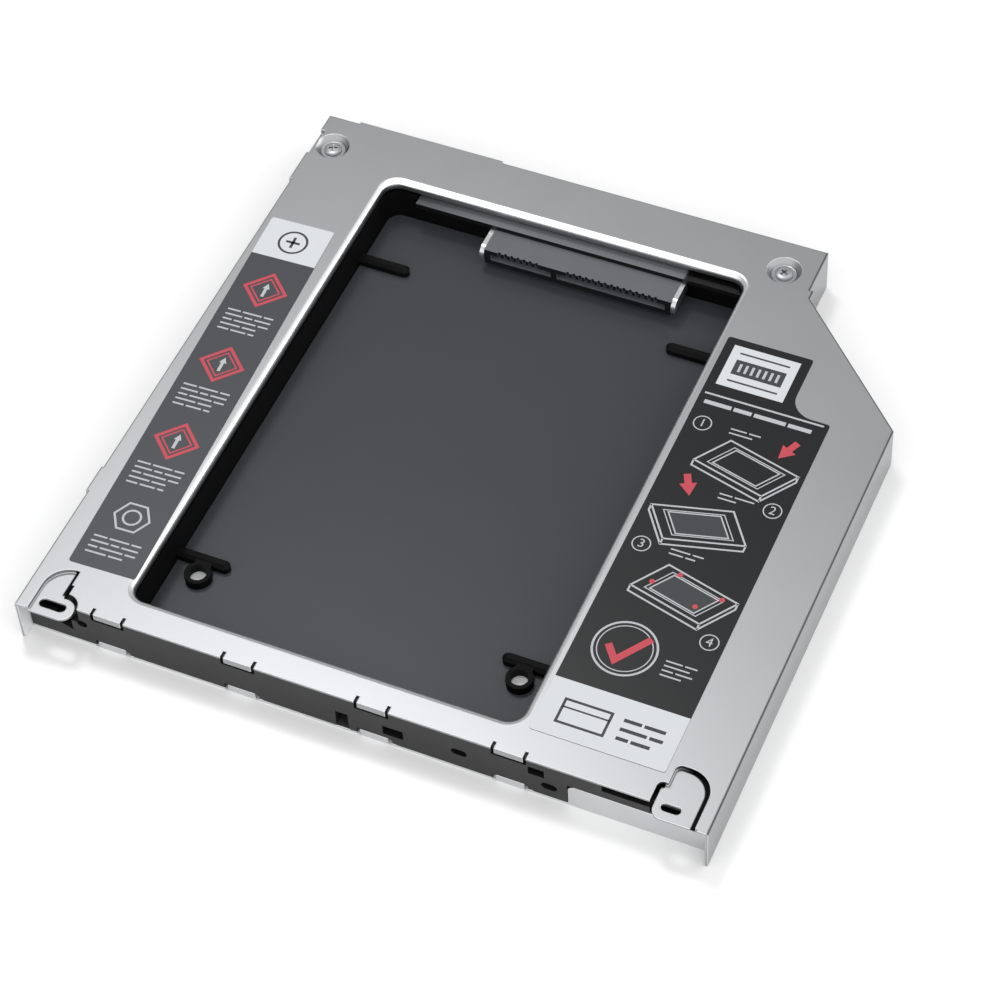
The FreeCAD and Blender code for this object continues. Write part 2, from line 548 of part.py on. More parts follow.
def frame_clearances():
    """Room in the frame for the folds, ears, dimples, board and plug."""
    cuts = []
    for station in TAB_STATIONS:
        reach = TAB_WIDTH / 2 + TAB_SLIT
        back = FRONT_SETBACK + SHEET + FIT
        cuts.append(box(station - reach, station + reach, 0, back, COVER_TOP - TOP_TAB_DROP - 0.5, COVER_TOP))
        cuts.append(front_profile([(station - reach, 0), (station + reach + 1, 0), (station + reach + 1, SHEET),
                                   (station + reach - 0.4, BOTTOM_TAB_RISE + FIT),
                                   (station - reach, BOTTOM_TAB_RISE + FIT)], 0, back))
    flange_back = FRONT_SETBACK + SHEET + FIT
    cuts.append(box(FLANGE_START - FIT, WIDTH, 0, flange_back, 0, FLANGE_HEIGHT + FIT))
    ear_low = COVER_UNDERSIDE - EAR_PRESS - FIT
    for ear, place in EARS:
        cuts.append(place(box(0, ear_tip(ear) + EAR_GAP, -1, ear["rear"] + FIT, ear_low, COVER_TOP)))
        cuts.append(place(box(0, ear_tip(ear) + EAR_GAP, -1, FRONT_SETBACK + WALL, FLANGE_HEIGHT + FIT, COVER_TOP)))
    for x, y in DIMPLES.values():
        floor = COVER_UNDERSIDE - DIMPLE_DEPTH
        cuts.append(post(x, y, DIMPLE_RADIUS + SHEET + FIT, floor, COVER_TOP))
        pilot = COVER_TOP - DIMPLE_DEPTH - REAR_SCREW["length"] - PILOT_SPARE
        cuts.append(post(x, y, REAR_SCREW["shaft"] + PILOT_CLEARANCE, pilot, COVER_TOP))
    board_room = box(BOARD_LEFT - FIT, BOARD_RIGHT + FIT, WINDOW_REAR - 1, DEPTH, BOARD_UNDERSIDE, COVER_TOP)
    corner_block = box(0, BOARD_STEP_X - FIT, 0, BOARD_STEP_Y - FIT, 0, COVER_TOP)
    cuts.append(board_room.cut(corner_block))
    cuts.append(box(PLUG_LEFT - FIT, PLUG_RIGHT + FIT, PLUG_FRONT - FIT, DEPTH, 0, COVER_TOP))
    for x in BOARD_SCREW_X:
        cuts.append(post(x, BOARD_SCREW_Y, BOARD_SCREW["shaft"] + PILOT_CLEARANCE,
                         BOARD_TOP - BOARD_SCREW["length"] - PILOT_SPARE, COVER_TOP))
    for x, y in BOTTOM_SCREWS.values():
        cuts.append(post(x, y, BOTTOM_SCREW_SHAFT + PILOT_CLEARANCE, 0, BOTTOM_SCREW_LENGTH + PILOT_SPARE))
    return cuts


def inner_frame():
    ring = prism(body_outline(INSIDE, FRONT_SETBACK), SHEET, COVER_UNDERSIDE)
    ring = ring.cut(window_block(-LEDGE, 0, COVER_TOP))
    ring = ring.cut([window_block(SHEET + FIT, LEDGE_HEIGHT, COVER_TOP),
                     window_block(RIM_BEND + FIT, COVER_TOP - RIM_BEND - FIT, COVER_TOP)])
    ring = ring.cut([frame_hollow(), rear_hollow()])
    ring = ring.fuse([finger(row, side) for row in FINGER_ROWS for side in (-1, 1)])
    ring = ring.fuse([collar(x, y) for x, y in DRIVE_HOLES])
    return ring.cut(frame_clearances() + clip_openings()).removeSplitter()


def bay_film():
    gap = LEDGE + FIT
    sheet = rounded_block(WINDOW_LEFT + gap, WINDOW_RIGHT - gap, WINDOW_FRONT + gap, WINDOW_REAR - gap,
                          SHEET, FILM_TOP, WINDOW_CORNER - gap)
    return sheet.cut([post(x, y, FILM_OPENING_RADIUS, 0, 2) for x, y in DRIVE_HOLES])


def adapter_board():
    board = prism([
        (BOARD_LEFT, BOARD_STEP_Y), (BOARD_STEP_X, BOARD_STEP_Y), (BOARD_STEP_X, BOARD_FRONT),
        (BOARD_RIGHT, BOARD_FRONT), (BOARD_RIGHT, BOARD_REAR), (BOARD_LEFT, BOARD_REAR),
    ], BOARD_UNDERSIDE, BOARD_TOP)
    hole = BOARD_SCREW["shaft"] + SCREW_PLAY
    return board.cut([post(x, BOARD_SCREW_Y, hole, 0, COVER_TOP) for x in BOARD_SCREW_X])


def contact_places():
    """X of the socket's contacts, as a list for each of its two segments."""
    first = SOCKET_MIDDLE - CONTACT_SPAN / 2
    signal = [first + way * CONTACT_PITCH for way in range(SIGNAL_WAYS)]
    power = [signal[-1] + SEGMENT_GAP + way * CONTACT_PITCH for way in range(POWER_WAYS)]
    return signal, power


def drive_socket():
    left = SOCKET_MIDDLE - SOCKET_LENGTH / 2
    right = SOCKET_MIDDLE + SOCKET_LENGTH / 2
    rear = WINDOW_REAR - LEDGE - FIT
    body = box(left, right, SOCKET_FRONT, rear, SOCKET_BOTTOM, BOARD_UNDERSIDE)
    mouth_left = SOCKET_MIDDLE - SOCKET_MOUTH_LENGTH / 2
    mouth = box(mouth_left, mouth_left + SOCKET_MOUTH_LENGTH, SOCKET_FRONT - 1, SOCKET_FRONT + SOCKET_MOUTH_DEPTH,
                SOCKET_MOUTH_BOTTOM, SOCKET_MOUTH_TOP)
    signal, power = contact_places()
    key_x = (signal[-1] + power[0]) / 2 + CONTACT_PITCH / 4
    key = box(key_x - CONTACT_WIDTH, key_x + CONTACT_WIDTH, SOCKET_FRONT, SOCKET_FRONT + SOCKET_MOUTH_DEPTH,
              SOCKET_MOUTH_BOTTOM, SOCKET_MOUTH_TOP)
    comb = [box(x - CONTACT_WIDTH / 2, x + CONTACT_WIDTH / 2, SOCKET_FRONT - 1, SOCKET_FRONT + COMB_DEPTH,
                SOCKET_MOUTH_TOP - 0.1, BOARD_UNDERSIDE + 1) for x in signal + power]
    channels = [box(x - CONTACT_WIDTH / 2, x + CONTACT_WIDTH / 2, SOCKET_FRONT, SOCKET_FRONT + SOCKET_MOUTH_DEPTH,
                    SOCKET_MOUTH_TOP - 0.1, SOCKET_MOUTH_TOP + CONTACT_STOCK) for x in signal + power]
    return body.cut(mouth).fuse(key).cut(comb + channels).removeSplitter()


def socket_contacts(places):
    """A row of contact strips in the channels above the socket's mouth."""
    side = CONTACT_WIDTH / 2 - CONTACT_PLAY
    strips = [box(x - side, x + side, SOCKET_FRONT + CONTACT_SETBACK, SOCKET_FRONT + SOCKET_MOUTH_DEPTH,
                  SOCKET_MOUTH_TOP, SOCKET_MOUTH_TOP + CONTACT_STOCK) for x in places]
    return Part.makeCompound(strips)


def socket_lug(side):
    """Metal end lug that guides the drive and holds the socket to the board."""
    inner = SOCKET_MIDDLE + side * SOCKET_LENGTH / 2
    x0, x1 = sorted((inner, inner + side * LUG_WIDTH))
    strap = box(x0, x1, SOCKET_FRONT - LUG_AHEAD, BOARD_FRONT + 1.0, LUG_BOTTOM, BOARD_UNDERSIDE)
    nose = level_edges(strap, BOARD_UNDERSIDE, lambda middle: middle.y < SOCKET_FRONT)
    return strap.makeFillet(LUG_NOSE, nose)


def slim_places():
    """X of the plug's contacts, as a list for each of its two tongues."""
    signal = [SLIM_SIGNAL_MIDDLE + (way - (SIGNAL_WAYS - 1) / 2) * CONTACT_PITCH for way in range(SIGNAL_WAYS)]
    power = [SLIM_POWER_MIDDLE + (way - (SLIM_POWER_WAYS - 1) / 2) * SLIM_POWER_PITCH
             for way in range(SLIM_POWER_WAYS)]
    return signal, power


def slim_plug():
    rear = DEPTH - FIT
    body = box(PLUG_LEFT, PLUG_RIGHT, PLUG_FRONT, rear, PLUG_BOTTOM, BOARD_UNDERSIDE)
    mouth = box(PLUG_LEFT + PLUG_END, PLUG_RIGHT - PLUG_END, rear - SLIM_MOUTH_DEPTH, rear + 1,
                PLUG_BOTTOM + PLUG_FLOOR, BOARD_UNDERSIDE - PLUG_ROOF)
    body = body.cut(mouth)
    for places in slim_places():
        tongue = box(places[0] - SLIM_TONGUE_SPARE, places[-1] + SLIM_TONGUE_SPARE, rear - SLIM_MOUTH_DEPTH - 0.1,
                     rear - SLIM_MOUTH_DEPTH + SLIM_TONGUE_LENGTH, SLIM_TONGUE_BOTTOM, SLIM_TONGUE_TOP)
        body = body.fuse(tongue)
    return body.removeSplitter()


def slim_contacts(places):
    """Flat contacts on the upper face of a tongue of the slim plug."""
    rear = DEPTH - FIT
    side = CONTACT_WIDTH / 2
    strips = [box(x - side, x + side, rear - SLIM_MOUTH_DEPTH, rear - SLIM_MOUTH_DEPTH + SLIM_TONGUE_LENGTH - 0.5,
                  SLIM_TONGUE_TOP, SLIM_TONGUE_TOP + SLIM_CONTACT_STOCK) for x in places]
    return Part.makeCompound(strips)


def pan_screw(x, y, seat, screw):
    """Screw with a low tapered head that rests on seat."""
    head, tall, shaft = screw["head"], screw["head_height"], screw["shaft"]
    return turned([(0, seat - screw["length"]), (shaft, seat - screw["length"]), (shaft, seat), (head, seat),
                   (head * 0.8, seat + tall), (0, seat + tall)], x, y)


def board_capacitors():
    """Chip capacitors soldered beside the plug and the socket."""
    rear = CAPACITOR_Y + CAPACITOR["width"]
    top = BOARD_TOP + CAPACITOR["height"]
    return Part.makeCompound([box(x, x + CAPACITOR["length"], CAPACITOR_Y, rear, BOARD_TOP, top)
                              for x in CAPACITOR_PLACES])


def left_label():
    half_width, half_length = LEFT_LABEL_WIDTH / 2, LEFT_LABEL_LENGTH / 2
    label = box(-half_width, half_width, -half_length, half_length, COVER_TOP, COVER_TOP + LABEL_THICKNESS)
    label.rotate(V(0, 0, 0), V(0, 0, 1), LEFT_LABEL_TURN)
    label.translate(V(LEFT_LABEL_MIDDLE[0], LEFT_LABEL_MIDDLE[1], 0))
    return label


def right_label():
    """Label with a narrower head, which a hollow sweep joins to the shoulder."""
    z = COVER_TOP
    sweep = RIGHT_LABEL_SWEEP
    turn = sweep * (1 - math.sqrt(0.5))
    neck, shoulder = RIGHT_LABEL_NECK, RIGHT_LABEL_SHOULDER
    corners = [V(neck + sweep, shoulder, z), V(RIGHT_LABEL_RIGHT, shoulder, z),
               V(RIGHT_LABEL_RIGHT, RIGHT_LABEL_FRONT, z), V(RIGHT_LABEL_LEFT, RIGHT_LABEL_FRONT, z),
               V(RIGHT_LABEL_LEFT, RIGHT_LABEL_REAR, z), V(neck, RIGHT_LABEL_REAR, z),
               V(neck, shoulder + sweep, z)]
    straight = Part.makePolygon(corners).Edges
    hollow = Part.Arc(corners[-1], V(neck + turn, shoulder + turn, z), corners[0]).toShape()
    return Part.Face(Part.Wire(straight + [hollow])).extrude(V(0, 0, LABEL_THICKNESS))


def pieces():
    signal, power = contact_places()
    slim_signal, slim_power = slim_places()
    made = {
        "top_cover": top_cover(),
        "bottom_cover": bottom_cover(),
        "inner_frame": inner_frame(),
        "bay_film": bay_film(),
        "adapter_board": adapter_board(),
        "board_capacitors": board_capacitors(),
        "drive_socket": drive_socket(),
        "socket_signal_contacts": socket_contacts(signal),
        "socket_power_contacts": socket_contacts(power),
        "socket_lug_left": socket_lug(-1),
        "socket_lug_right": socket_lug(1),
        "slim_plug": slim_plug(),
        "plug_signal_contacts": slim_contacts(slim_signal),
        "plug_power_contacts": slim_contacts(slim_power),
        "left_label": left_label(),
        "right_label": right_label(),
    }
    seat = COVER_TOP - DIMPLE_DEPTH
    for name, (x, y) in DIMPLES.items():
        made["rear_screw_" + name] = pan_screw(x, y, seat, REAR_SCREW)
    for name, x in zip(("left", "right"), BOARD_SCREW_X):
        made["board_screw_" + name] = pan_screw(x, BOARD_SCREW_Y, BOARD_TOP, BOARD_SCREW)
    for name, (x, y) in BOTTOM_SCREWS.items():
        made["bottom_screw_" + name] = bottom_screw_blank(x, y, 0)
    return made


os.makedirs("parts", exist_ok=True)
for name, shape in pieces().items():
    shape.translate(-ORIGIN)
    shape.exportStep("parts/" + name + ".step")
    bounds = shape.BoundBox
    print(name, len(shape.Solids), "solid(s), valid" if shape.isValid() else "NOT VALID",
          "volume %.1f" % shape.Volume,
          "x %.2f %.2f y %.2f %.2f z %.2f %.2f" % (bounds.XMin, bounds.XMax, bounds.YMin, bounds.YMax,
                                                   bounds.ZMin, bounds.ZMax))
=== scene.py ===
# %% [markdown]
# # Dressing a laptop drive caddy
# The caddy is an empty tray in the shape of a slim optical drive. It holds a 2.5 inch drive in its bay.
# The CAD model already has its exact solids, so this lesson adds what CAD doesn't hold: the satin of the
# metal, the grain of the moulding, the printed labels, the recessed screw heads and the studio.

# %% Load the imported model
import bpy
import bmesh
import math
from mathutils import Matrix, Vector


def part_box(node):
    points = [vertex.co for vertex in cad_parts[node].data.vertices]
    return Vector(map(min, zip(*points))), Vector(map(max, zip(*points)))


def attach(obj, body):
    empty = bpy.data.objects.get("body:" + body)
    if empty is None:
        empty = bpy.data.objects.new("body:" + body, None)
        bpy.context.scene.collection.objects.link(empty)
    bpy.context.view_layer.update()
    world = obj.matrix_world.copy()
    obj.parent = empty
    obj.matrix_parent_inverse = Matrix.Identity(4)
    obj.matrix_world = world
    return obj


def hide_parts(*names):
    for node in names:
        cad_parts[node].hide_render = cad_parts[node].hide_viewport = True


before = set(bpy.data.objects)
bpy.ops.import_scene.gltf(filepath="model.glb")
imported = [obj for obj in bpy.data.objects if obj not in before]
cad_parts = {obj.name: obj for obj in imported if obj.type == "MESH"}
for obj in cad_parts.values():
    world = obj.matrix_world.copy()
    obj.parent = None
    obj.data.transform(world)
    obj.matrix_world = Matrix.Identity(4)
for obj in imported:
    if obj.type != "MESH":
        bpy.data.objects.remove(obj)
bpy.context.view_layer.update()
MM = 0.001

# %% [markdown]
# ## Where the parts are
# The CAD model's origin is the middle of the underside. Places on this caddy are easier to read from its
# front left corner, as on a drawing, so one helper turns such a place in millimetres into scene metres.

# %% Places as on the drawing
DRAWING_MIDDLE = (63.8, 64.4, 0.0)


def at(x, y, z):
    """A place in millimetres from the caddy's front left corner, as a scene vector."""
    return Vector([(value - middle) * MM for value, middle in zip((x, y, z), DRAWING_MIDDLE)])


def corner_of(node):
    """Lowest and highest corner of a CAD node in drawing millimetres."""
    low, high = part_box(node)
    return [tuple(value / MM + middle for value, middle in zip(corner, DRAWING_MIDDLE))
            for corner in (low, high)]


print("cover", corner_of("top_cover"))

# %% [markdown]
# ## The camera
# The picture was taken from the front right, about 51 degrees above the table, with a long lens. Fitting
# the caddy's known corners to the picture gave the camera's place and the directions below. Blender's
# camera looks along its own minus Z, so its axes are right, up and backward.

# %% Camera from the fit
CAMERA_PLACE = (162.1, -328.4, 442.3)
CAMERA_RIGHT = (0.9170, 0.3966, -0.0430)
CAMERA_FORWARD = (-0.2809, 0.5654, -0.7755)
FOCAL_PIXELS = 3178.7
PICTURE_PIXELS = 1000
SENSOR_MM = 36.0
NEAREST_SEEN = 0.01

camera_data = bpy.data.cameras.new("studio_camera")
camera_data.sensor_width = SENSOR_MM
camera_data.lens = FOCAL_PIXELS / PICTURE_PIXELS * SENSOR_MM
camera_data.clip_start = NEAREST_SEEN
camera = bpy.data.objects.new("studio_camera", camera_data)
backward = -Vector(CAMERA_FORWARD).normalized()
rightward = Vector(CAMERA_RIGHT)
rightward = (rightward - backward * rightward.dot(backward)).normalized()
upward = backward.cross(rightward)
turn = Matrix((rightward, upward, backward)).transposed()
camera.matrix_world = Matrix.Translation(Vector(CAMERA_PLACE) * MM) @ turn.to_4x4()
bpy.context.collection.objects.link(camera)
bpy.context.scene.camera = camera
print("lens", round(camera_data.lens, 1), "mm")

# %% [markdown]
# ## Shader maths that reads as Python
# A finish is a small sum of patterns. Adding Math nodes one by one hides that sum, so one class wraps a
# socket and gives it the usual operators. Each operator adds the node that it stands for. Any other node
# comes from one call, which takes the node's type, its settings and what its sockets get.

# %% A wrapped socket
class Wire:
    """A value in a node tree. Sums on it add Math nodes."""

    def __init__(self, finish, socket):
        self.finish = finish
        self.socket = socket

    def __add__(self, other):
        return self.finish.maths("ADD", self, other)

    def __sub__(self, other):
        return self.finish.maths("SUBTRACT", self, other)

    def __rsub__(self, other):
        return self.finish.maths("SUBTRACT", other, self)

    def __mul__(self, other):
        return self.finish.maths("MULTIPLY", self, other)

    def __abs__(self):
        return self.finish.maths("ABSOLUTE", self, 0.0)

    __radd__ = __add__
    __rmul__ = __mul__

    def at_least(self, other):
        """The larger of two values."""
        return self.finish.maths("MAXIMUM", self, other)

    def between(self, low, high):
        """0 below low, 1 above high and a smooth step from one to the other."""
        inputs = {"Value": self, "From Min": low, "From Max": high}
        return self.finish.node("ShaderNodeMapRange", {"interpolation_type": "SMOOTHSTEP"}, inputs)


# %% [markdown]
# ## Screen colours and node trees
# Colours are easiest to judge as screen levels, 0 to 255, but a shader takes linear light. The usual screen
# curve turns one into the other. The class below adds nodes to any tree, a material's or the world's.

# %% A node tree
DARK_END, DARK_SLOPE = 0.04045, 12.92
CURVE_SHIFT, CURVE_POWER = 0.055, 2.4


def tone(red, green, blue):
    """A screen colour, 0 to 255, as the linear colour that a shader takes."""
    linear = []
    for level in (red, green, blue):
        part = level / 255
        curved = ((part + CURVE_SHIFT) / (1 + CURVE_SHIFT)) ** CURVE_POWER
        linear.append(part / DARK_SLOPE if part <= DARK_END else curved)
    return (*linear, 1.0)


def shifted_tone(colour, step):
    """A screen colour moved by some levels, within 0 to 255."""
    return tone(*[min(255, max(0, level + step)) for level in colour])


class Nodes:
    """A node tree with the calls that add nodes to it."""

    def __init__(self, tree):
        self.tree = tree

    def node(self, kind, settings=None, inputs=None, output=0):
        """Adds a node. Its settings come first, because some of them decide which sockets it has."""
        made = self.tree.nodes.new(kind)
        for words, value in (settings or {}).items():
            setattr(made, words, value)
        for words, value in (inputs or {}).items():
            self.feed(made.inputs[words], value)
        return Wire(self, made.outputs[output])

    def feed(self, socket, value):
        """Links a wire to a socket, or sets the socket's own value."""
        if isinstance(value, Wire):
            self.tree.links.new(value.socket, socket)
        else:
            socket.default_value = value

    def maths(self, operation, first, second):
        return self.node("ShaderNodeMath", {"operation": operation}, {0: first, 1: second})

    def dot(self, first, second):
        """How far two directions agree, from -1 to 1."""
        inputs = {0: first, 1: second}
        return self.node("ShaderNodeVectorMath", {"operation": "DOT_PRODUCT"}, inputs, "Value")


# %% [markdown]
# ## What all finishes share
# Each finish is one material with Blender's Principled shader. Its patterns are sized in millimetres, and
# some of its shading depends on where a point lies on the drawing or which way the surface faces.

# %% A finish
BEVEL_SAMPLES = 6
TURNED_TO = (0.4, 0.8)


class Finish(Nodes):
    """One material of the caddy, with the patterns that its finishes share."""

    def __init__(self, name, **constants):
        self.material = bpy.data.materials.new(name)
        self.material.use_nodes = True
        super().__init__(self.material.node_tree)
        self.shader = self.tree.nodes["Principled BSDF"]
        for words, value in constants.items():
            self.shader.inputs[words.replace("_", " ").title().replace("Ior", "IOR")].default_value = value

    def blend(self, factor, first, second):
        """A colour mixed from two."""
        return self.node("ShaderNodeMix", {"data_type": "RGBA"}, {0: factor, 6: first, 7: second}, 2)

    def place(self, stretch=(1, 1, 1)):
        """The place on the piece in millimetres, each direction times its stretch."""
        where = self.node("ShaderNodeTexCoord", output="Object")
        factors = tuple(part / MM for part in stretch)
        return self.node("ShaderNodeVectorMath", {"operation": "MULTIPLY"}, {0: where, 1: factors})

    def drawing(self, axis):
        """One coordinate of the place, X, Y or Z, in drawing millimetres."""
        coordinate = self.node("ShaderNodeSeparateXYZ", None, {0: self.place()}, axis)
        return coordinate + DRAWING_MIDDLE["XYZ".index(axis)]

    def facing(self, direction, kind="True Normal"):
        """How squarely the surface faces a direction, -1 to 1, by its true or its smooth normal."""
        return self.dot(self.node("ShaderNodeNewGeometry", output=kind), direction)

    def grain(self, size, detail=2.0, stretch=(1, 1, 1)):
        """Noise from 0 to 1 whose grains are about size millimetres."""
        inputs = {"Vector": self.place(stretch), "Scale": 1 / size, "Detail": detail}
        return self.node("ShaderNodeTexNoise", None, inputs, "Fac")

    def soft_edges(self, radius):
        """Normals of edges rounded by radius millimetres, for the glint that a real edge has."""
        return self.node("ShaderNodeBevel", {"samples": BEVEL_SAMPLES}, {"Radius": radius * MM}, "Normal")

    def edge_mask(self, normal, gain):
        """1 on edges and 0 on flats, from how far the rounded normal leaves the true one."""
        return ((1 - self.facing(normal)) * gain).between(0.0, 1.0)

    def relief(self, height, depth, normal=None):
        """Feeds the shader's normal from a height pattern that is depth millimetres high."""
        inputs = {"Height": height, "Distance": depth * MM, "Strength": 1.0}
        if normal is not None:
            inputs["Normal"] = normal
        self.feed(self.shader.inputs["Normal"], self.node("ShaderNodeBump", None, inputs))

    def wear(self, **looks):
        """Feeds the shader's varying sockets."""
        for words, value in looks.items():
            self.feed(self.shader.inputs[words.replace("_", " ").title()], value)


def dress(finish, *nodes):
    """Gives CAD nodes a finish through their material slots."""
    for name in nodes:
        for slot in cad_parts[name].material_slots:
            slot.material = finish.material
    print(finish.material.name, "on", ", ".join(nodes))


# %% [markdown]
# ## The table
# The picture has a glossy white table that fades into a white background. A wide plane carries the shadow
# and a faint reflection. It lies a hair below the caddy, so that no two faces share a height.

# %% White table
TABLE_REACH = 4.0
TABLE_GAP = 0.02

table_mesh = bpy.data.meshes.new("table_top")
table_corners = [(across * TABLE_REACH, along * TABLE_REACH, -TABLE_GAP * MM)
                 for across, along in ((-1, -1), (1, -1), (1, 1), (-1, 1))]
table_mesh.from_pydata(table_corners, [], [(0, 1, 2, 3)])
table = bpy.data.objects.new("table_top", table_mesh)
bpy.context.collection.objects.link(table)
table_finish = Finish("table_white", specular_ior_level=0.5)
table_white = table_finish.blend(table_finish.grain(40.0), tone(250, 250, 250), tone(254, 254, 254))
table_finish.wear(base_color=table_white, roughness=0.22 + 0.04 * table_finish.grain(25.0))
table_mesh.materials.append(table_finish.material)
print("table", 2 * TABLE_REACH, "m wide")

# %% [markdown]
# ## The studio
# One large soft lamp stands high behind the caddy. It throws the shadow to the front, shines through the
# screw slots at the front corners, and its reflection brightens the front of the cover. The world is a pale
# room that is brighter at the front right, with a glow low over the table there. Satin metal shows such a
# room as a slow change from a dim rear to a bright front, as the real cover does.

# %% Lamp and world
KEY_LAMP = dict(place=(-0.327, 0.357, 0.988), size=(0.23, 0.23), watts=2.5)
ROOM_FRONT = (0.75, -0.66, 0.0)
ROOM_DIM, ROOM_BRIGHT = 0.42, 1.24
ROOM_RISE = (-0.70, 0.30)
GLOW = 0.35
GLOW_RISE = (-0.35, 0.25)
GLOW_HEIGHT = (0.25, 0.65)


def soft_lamp(name, place, size, watts):
    """A rectangular lamp that faces the middle of the caddy."""
    lamp_data = bpy.data.lights.new(name, "AREA")
    lamp_data.shape = "RECTANGLE"
    lamp_data.size = size[0]
    lamp_data.size_y = size[1]
    lamp_data.energy = watts
    lamp = bpy.data.objects.new(name, lamp_data)
    lamp.location = place
    lamp.rotation_euler = (-Vector(place)).to_track_quat("-Z", "Y").to_euler()
    bpy.context.collection.objects.link(lamp)


soft_lamp("key_lamp", **KEY_LAMP)
world = bpy.data.worlds.new("studio")
world.use_nodes = True
room = Nodes(world.node_tree)
ray = room.node("ShaderNodeTexCoord", output="Generated")
ahead = room.dot(ray, ROOM_FRONT)
low_band = 1 - room.dot(ray, (0, 0, 1)).between(*GLOW_HEIGHT)
strength = ROOM_DIM + (ROOM_BRIGHT - ROOM_DIM) * ahead.between(*ROOM_RISE)
strength = strength + GLOW * low_band * ahead.between(*GLOW_RISE)
background = world.node_tree.nodes["Background"]
room.feed(background.inputs["Color"], (1, 1, 1, 1))
room.feed(background.inputs["Strength"], strength)
bpy.context.scene.world = world
bpy.context.scene.view_settings.view_transform = "Standard"
print("studio lit")

# %% [markdown]
# ## The folds of the cover
# The top cover is pressed from one sheet. The fold round the window gets a painted highlight for the glint
# along its bend, while the fold along the outer wing gets painted shade. Both could be separate strips with
# a material of their own, but they belong to one sheet. So a mask finds a fold by how far its surface leans,
# and the place on the drawing tells the two apart.

# %% Masks for the folds
WINDOW_MIDDLE = (54.25, 62.8)
WINDOW_REACH = (38.2, 55.4)
WINDOW_FADE = 0.6
WING_START = (100.5, 101.5)
LEAVES_WALL = (0.04, 0.25)
REACHES_TOP = (0.955, 0.995)


def fold_masks(metal, faces_up):
    """Two masks, one for the painted highlight on the fold round the window and one for the painted shade on
    the wing fold.
    """
    folded = faces_up.between(*LEAVES_WALL) * (1 - faces_up.between(*REACHES_TOP))
    window_fold_highlight = folded
    for axis, middle, reach in zip("XY", WINDOW_MIDDLE, WINDOW_REACH):
        away = abs(metal.drawing(axis) - middle)
        window_fold_highlight = window_fold_highlight * (1 - away.between(reach, reach + WINDOW_FADE))
    wing_fold_shade = folded * metal.drawing("X").between(*WING_START)
    return window_fold_highlight, wing_fold_shade


# %% [markdown]
# ## Dark corners in the ears
# The two ears at the front are pressed down by nearly a millimetre, and a dark line runs along the foot of
# the walls that stand to the right of their floors. The lamp alone leaves it too pale, so a mask darkens it.
# On the right ear that foot follows a rounded corner, so the mask is the squared distance from the corner's
# centre, which needs no root. On the left ear it is a straight strip. Both hold only between the height of
# the floors and the height of the cover.

# %% Mask for the ears
EAR_CENTRE = (120.6, 6.5)
EAR_SHADE_SQUARES = (15.4, 17.4)
EAR_FADE_IN = (115.5, 121.5)
EAR_WALL = (125.5, 125.7)
LEFT_STRIP = (6.45, 6.7)
LEFT_WALL = (8.0, 8.2)
LEFT_STRIP_FRONT = (4.8, 5.2)
EAR_FLOOR = (8.2, 8.4)
COVER_FACE = (9.25, 9.35)


def ear_shade(metal):
    """1 on the sunken floors of the ears, at the foot of the walls that stand to their right."""
    across, along, high = [metal.drawing(axis) for axis in "XYZ"]
    right, rear = [(value - middle).at_least(0.0) for value, middle in zip((across, along), EAR_CENTRE)]
    right_ear = (right * right + rear * rear).between(*EAR_SHADE_SQUARES)
    right_ear = right_ear * across.between(*EAR_FADE_IN) * (1 - across.between(*EAR_WALL))
    left_ear = across.between(*LEFT_STRIP) * (1 - across.between(*LEFT_WALL))
    left_ear = left_ear * along.between(*LEFT_STRIP_FRONT)
    return right_ear.at_least(left_ear) * high.between(*EAR_FLOOR) * (1 - high.between(*COVER_FACE))


# %% [markdown]
# ## The metal covers
# Both covers are thin aluminium sheet with a fine matt blasting. The dents of the blasting are too small to
# model, so a noise a fifth of a millimetre wide tilts the surface a little, and a wider, weaker noise gives
# the faint clouds that such sheet shows. Cut edges are brighter, because shearing leaves them bare, and the
# same bright colour is a painted highlight on the fold round the window. The fold along the outer wing is
# painted dark as shade. The inner face of the left wall's end is painted pale and matt, a painted highlight,
# and the bottom cover is painted dark as shade where it shows past the film.

# %% Blasted aluminium
CLOUD_SIZE, CLOUD_STEP = 14.0, 2
DENT_SIZE, DENT_DEPTH = 0.22, 0.006
SHEET_ROUNDING, SHEET_EDGE_GAIN = 0.2, 9.0
SHEET_ROUGHNESS, CLOUD_ROUGHER, EDGE_SMOOTHER = 0.37, 0.02, 0.1
FOLD_SHADE_DARK = tone(92, 93, 95)
SHADE_DARK = tone(16, 16, 17)
LEFT_END_TURN = (0.5, 0.9)
LEFT_END_HIGHLIGHT_METAL_LOSS = 0.9
LEFT_WALL_INSIDE = (0.8, 1.2)
UNDER_BAY_FRONT = (6.0, 9.0)


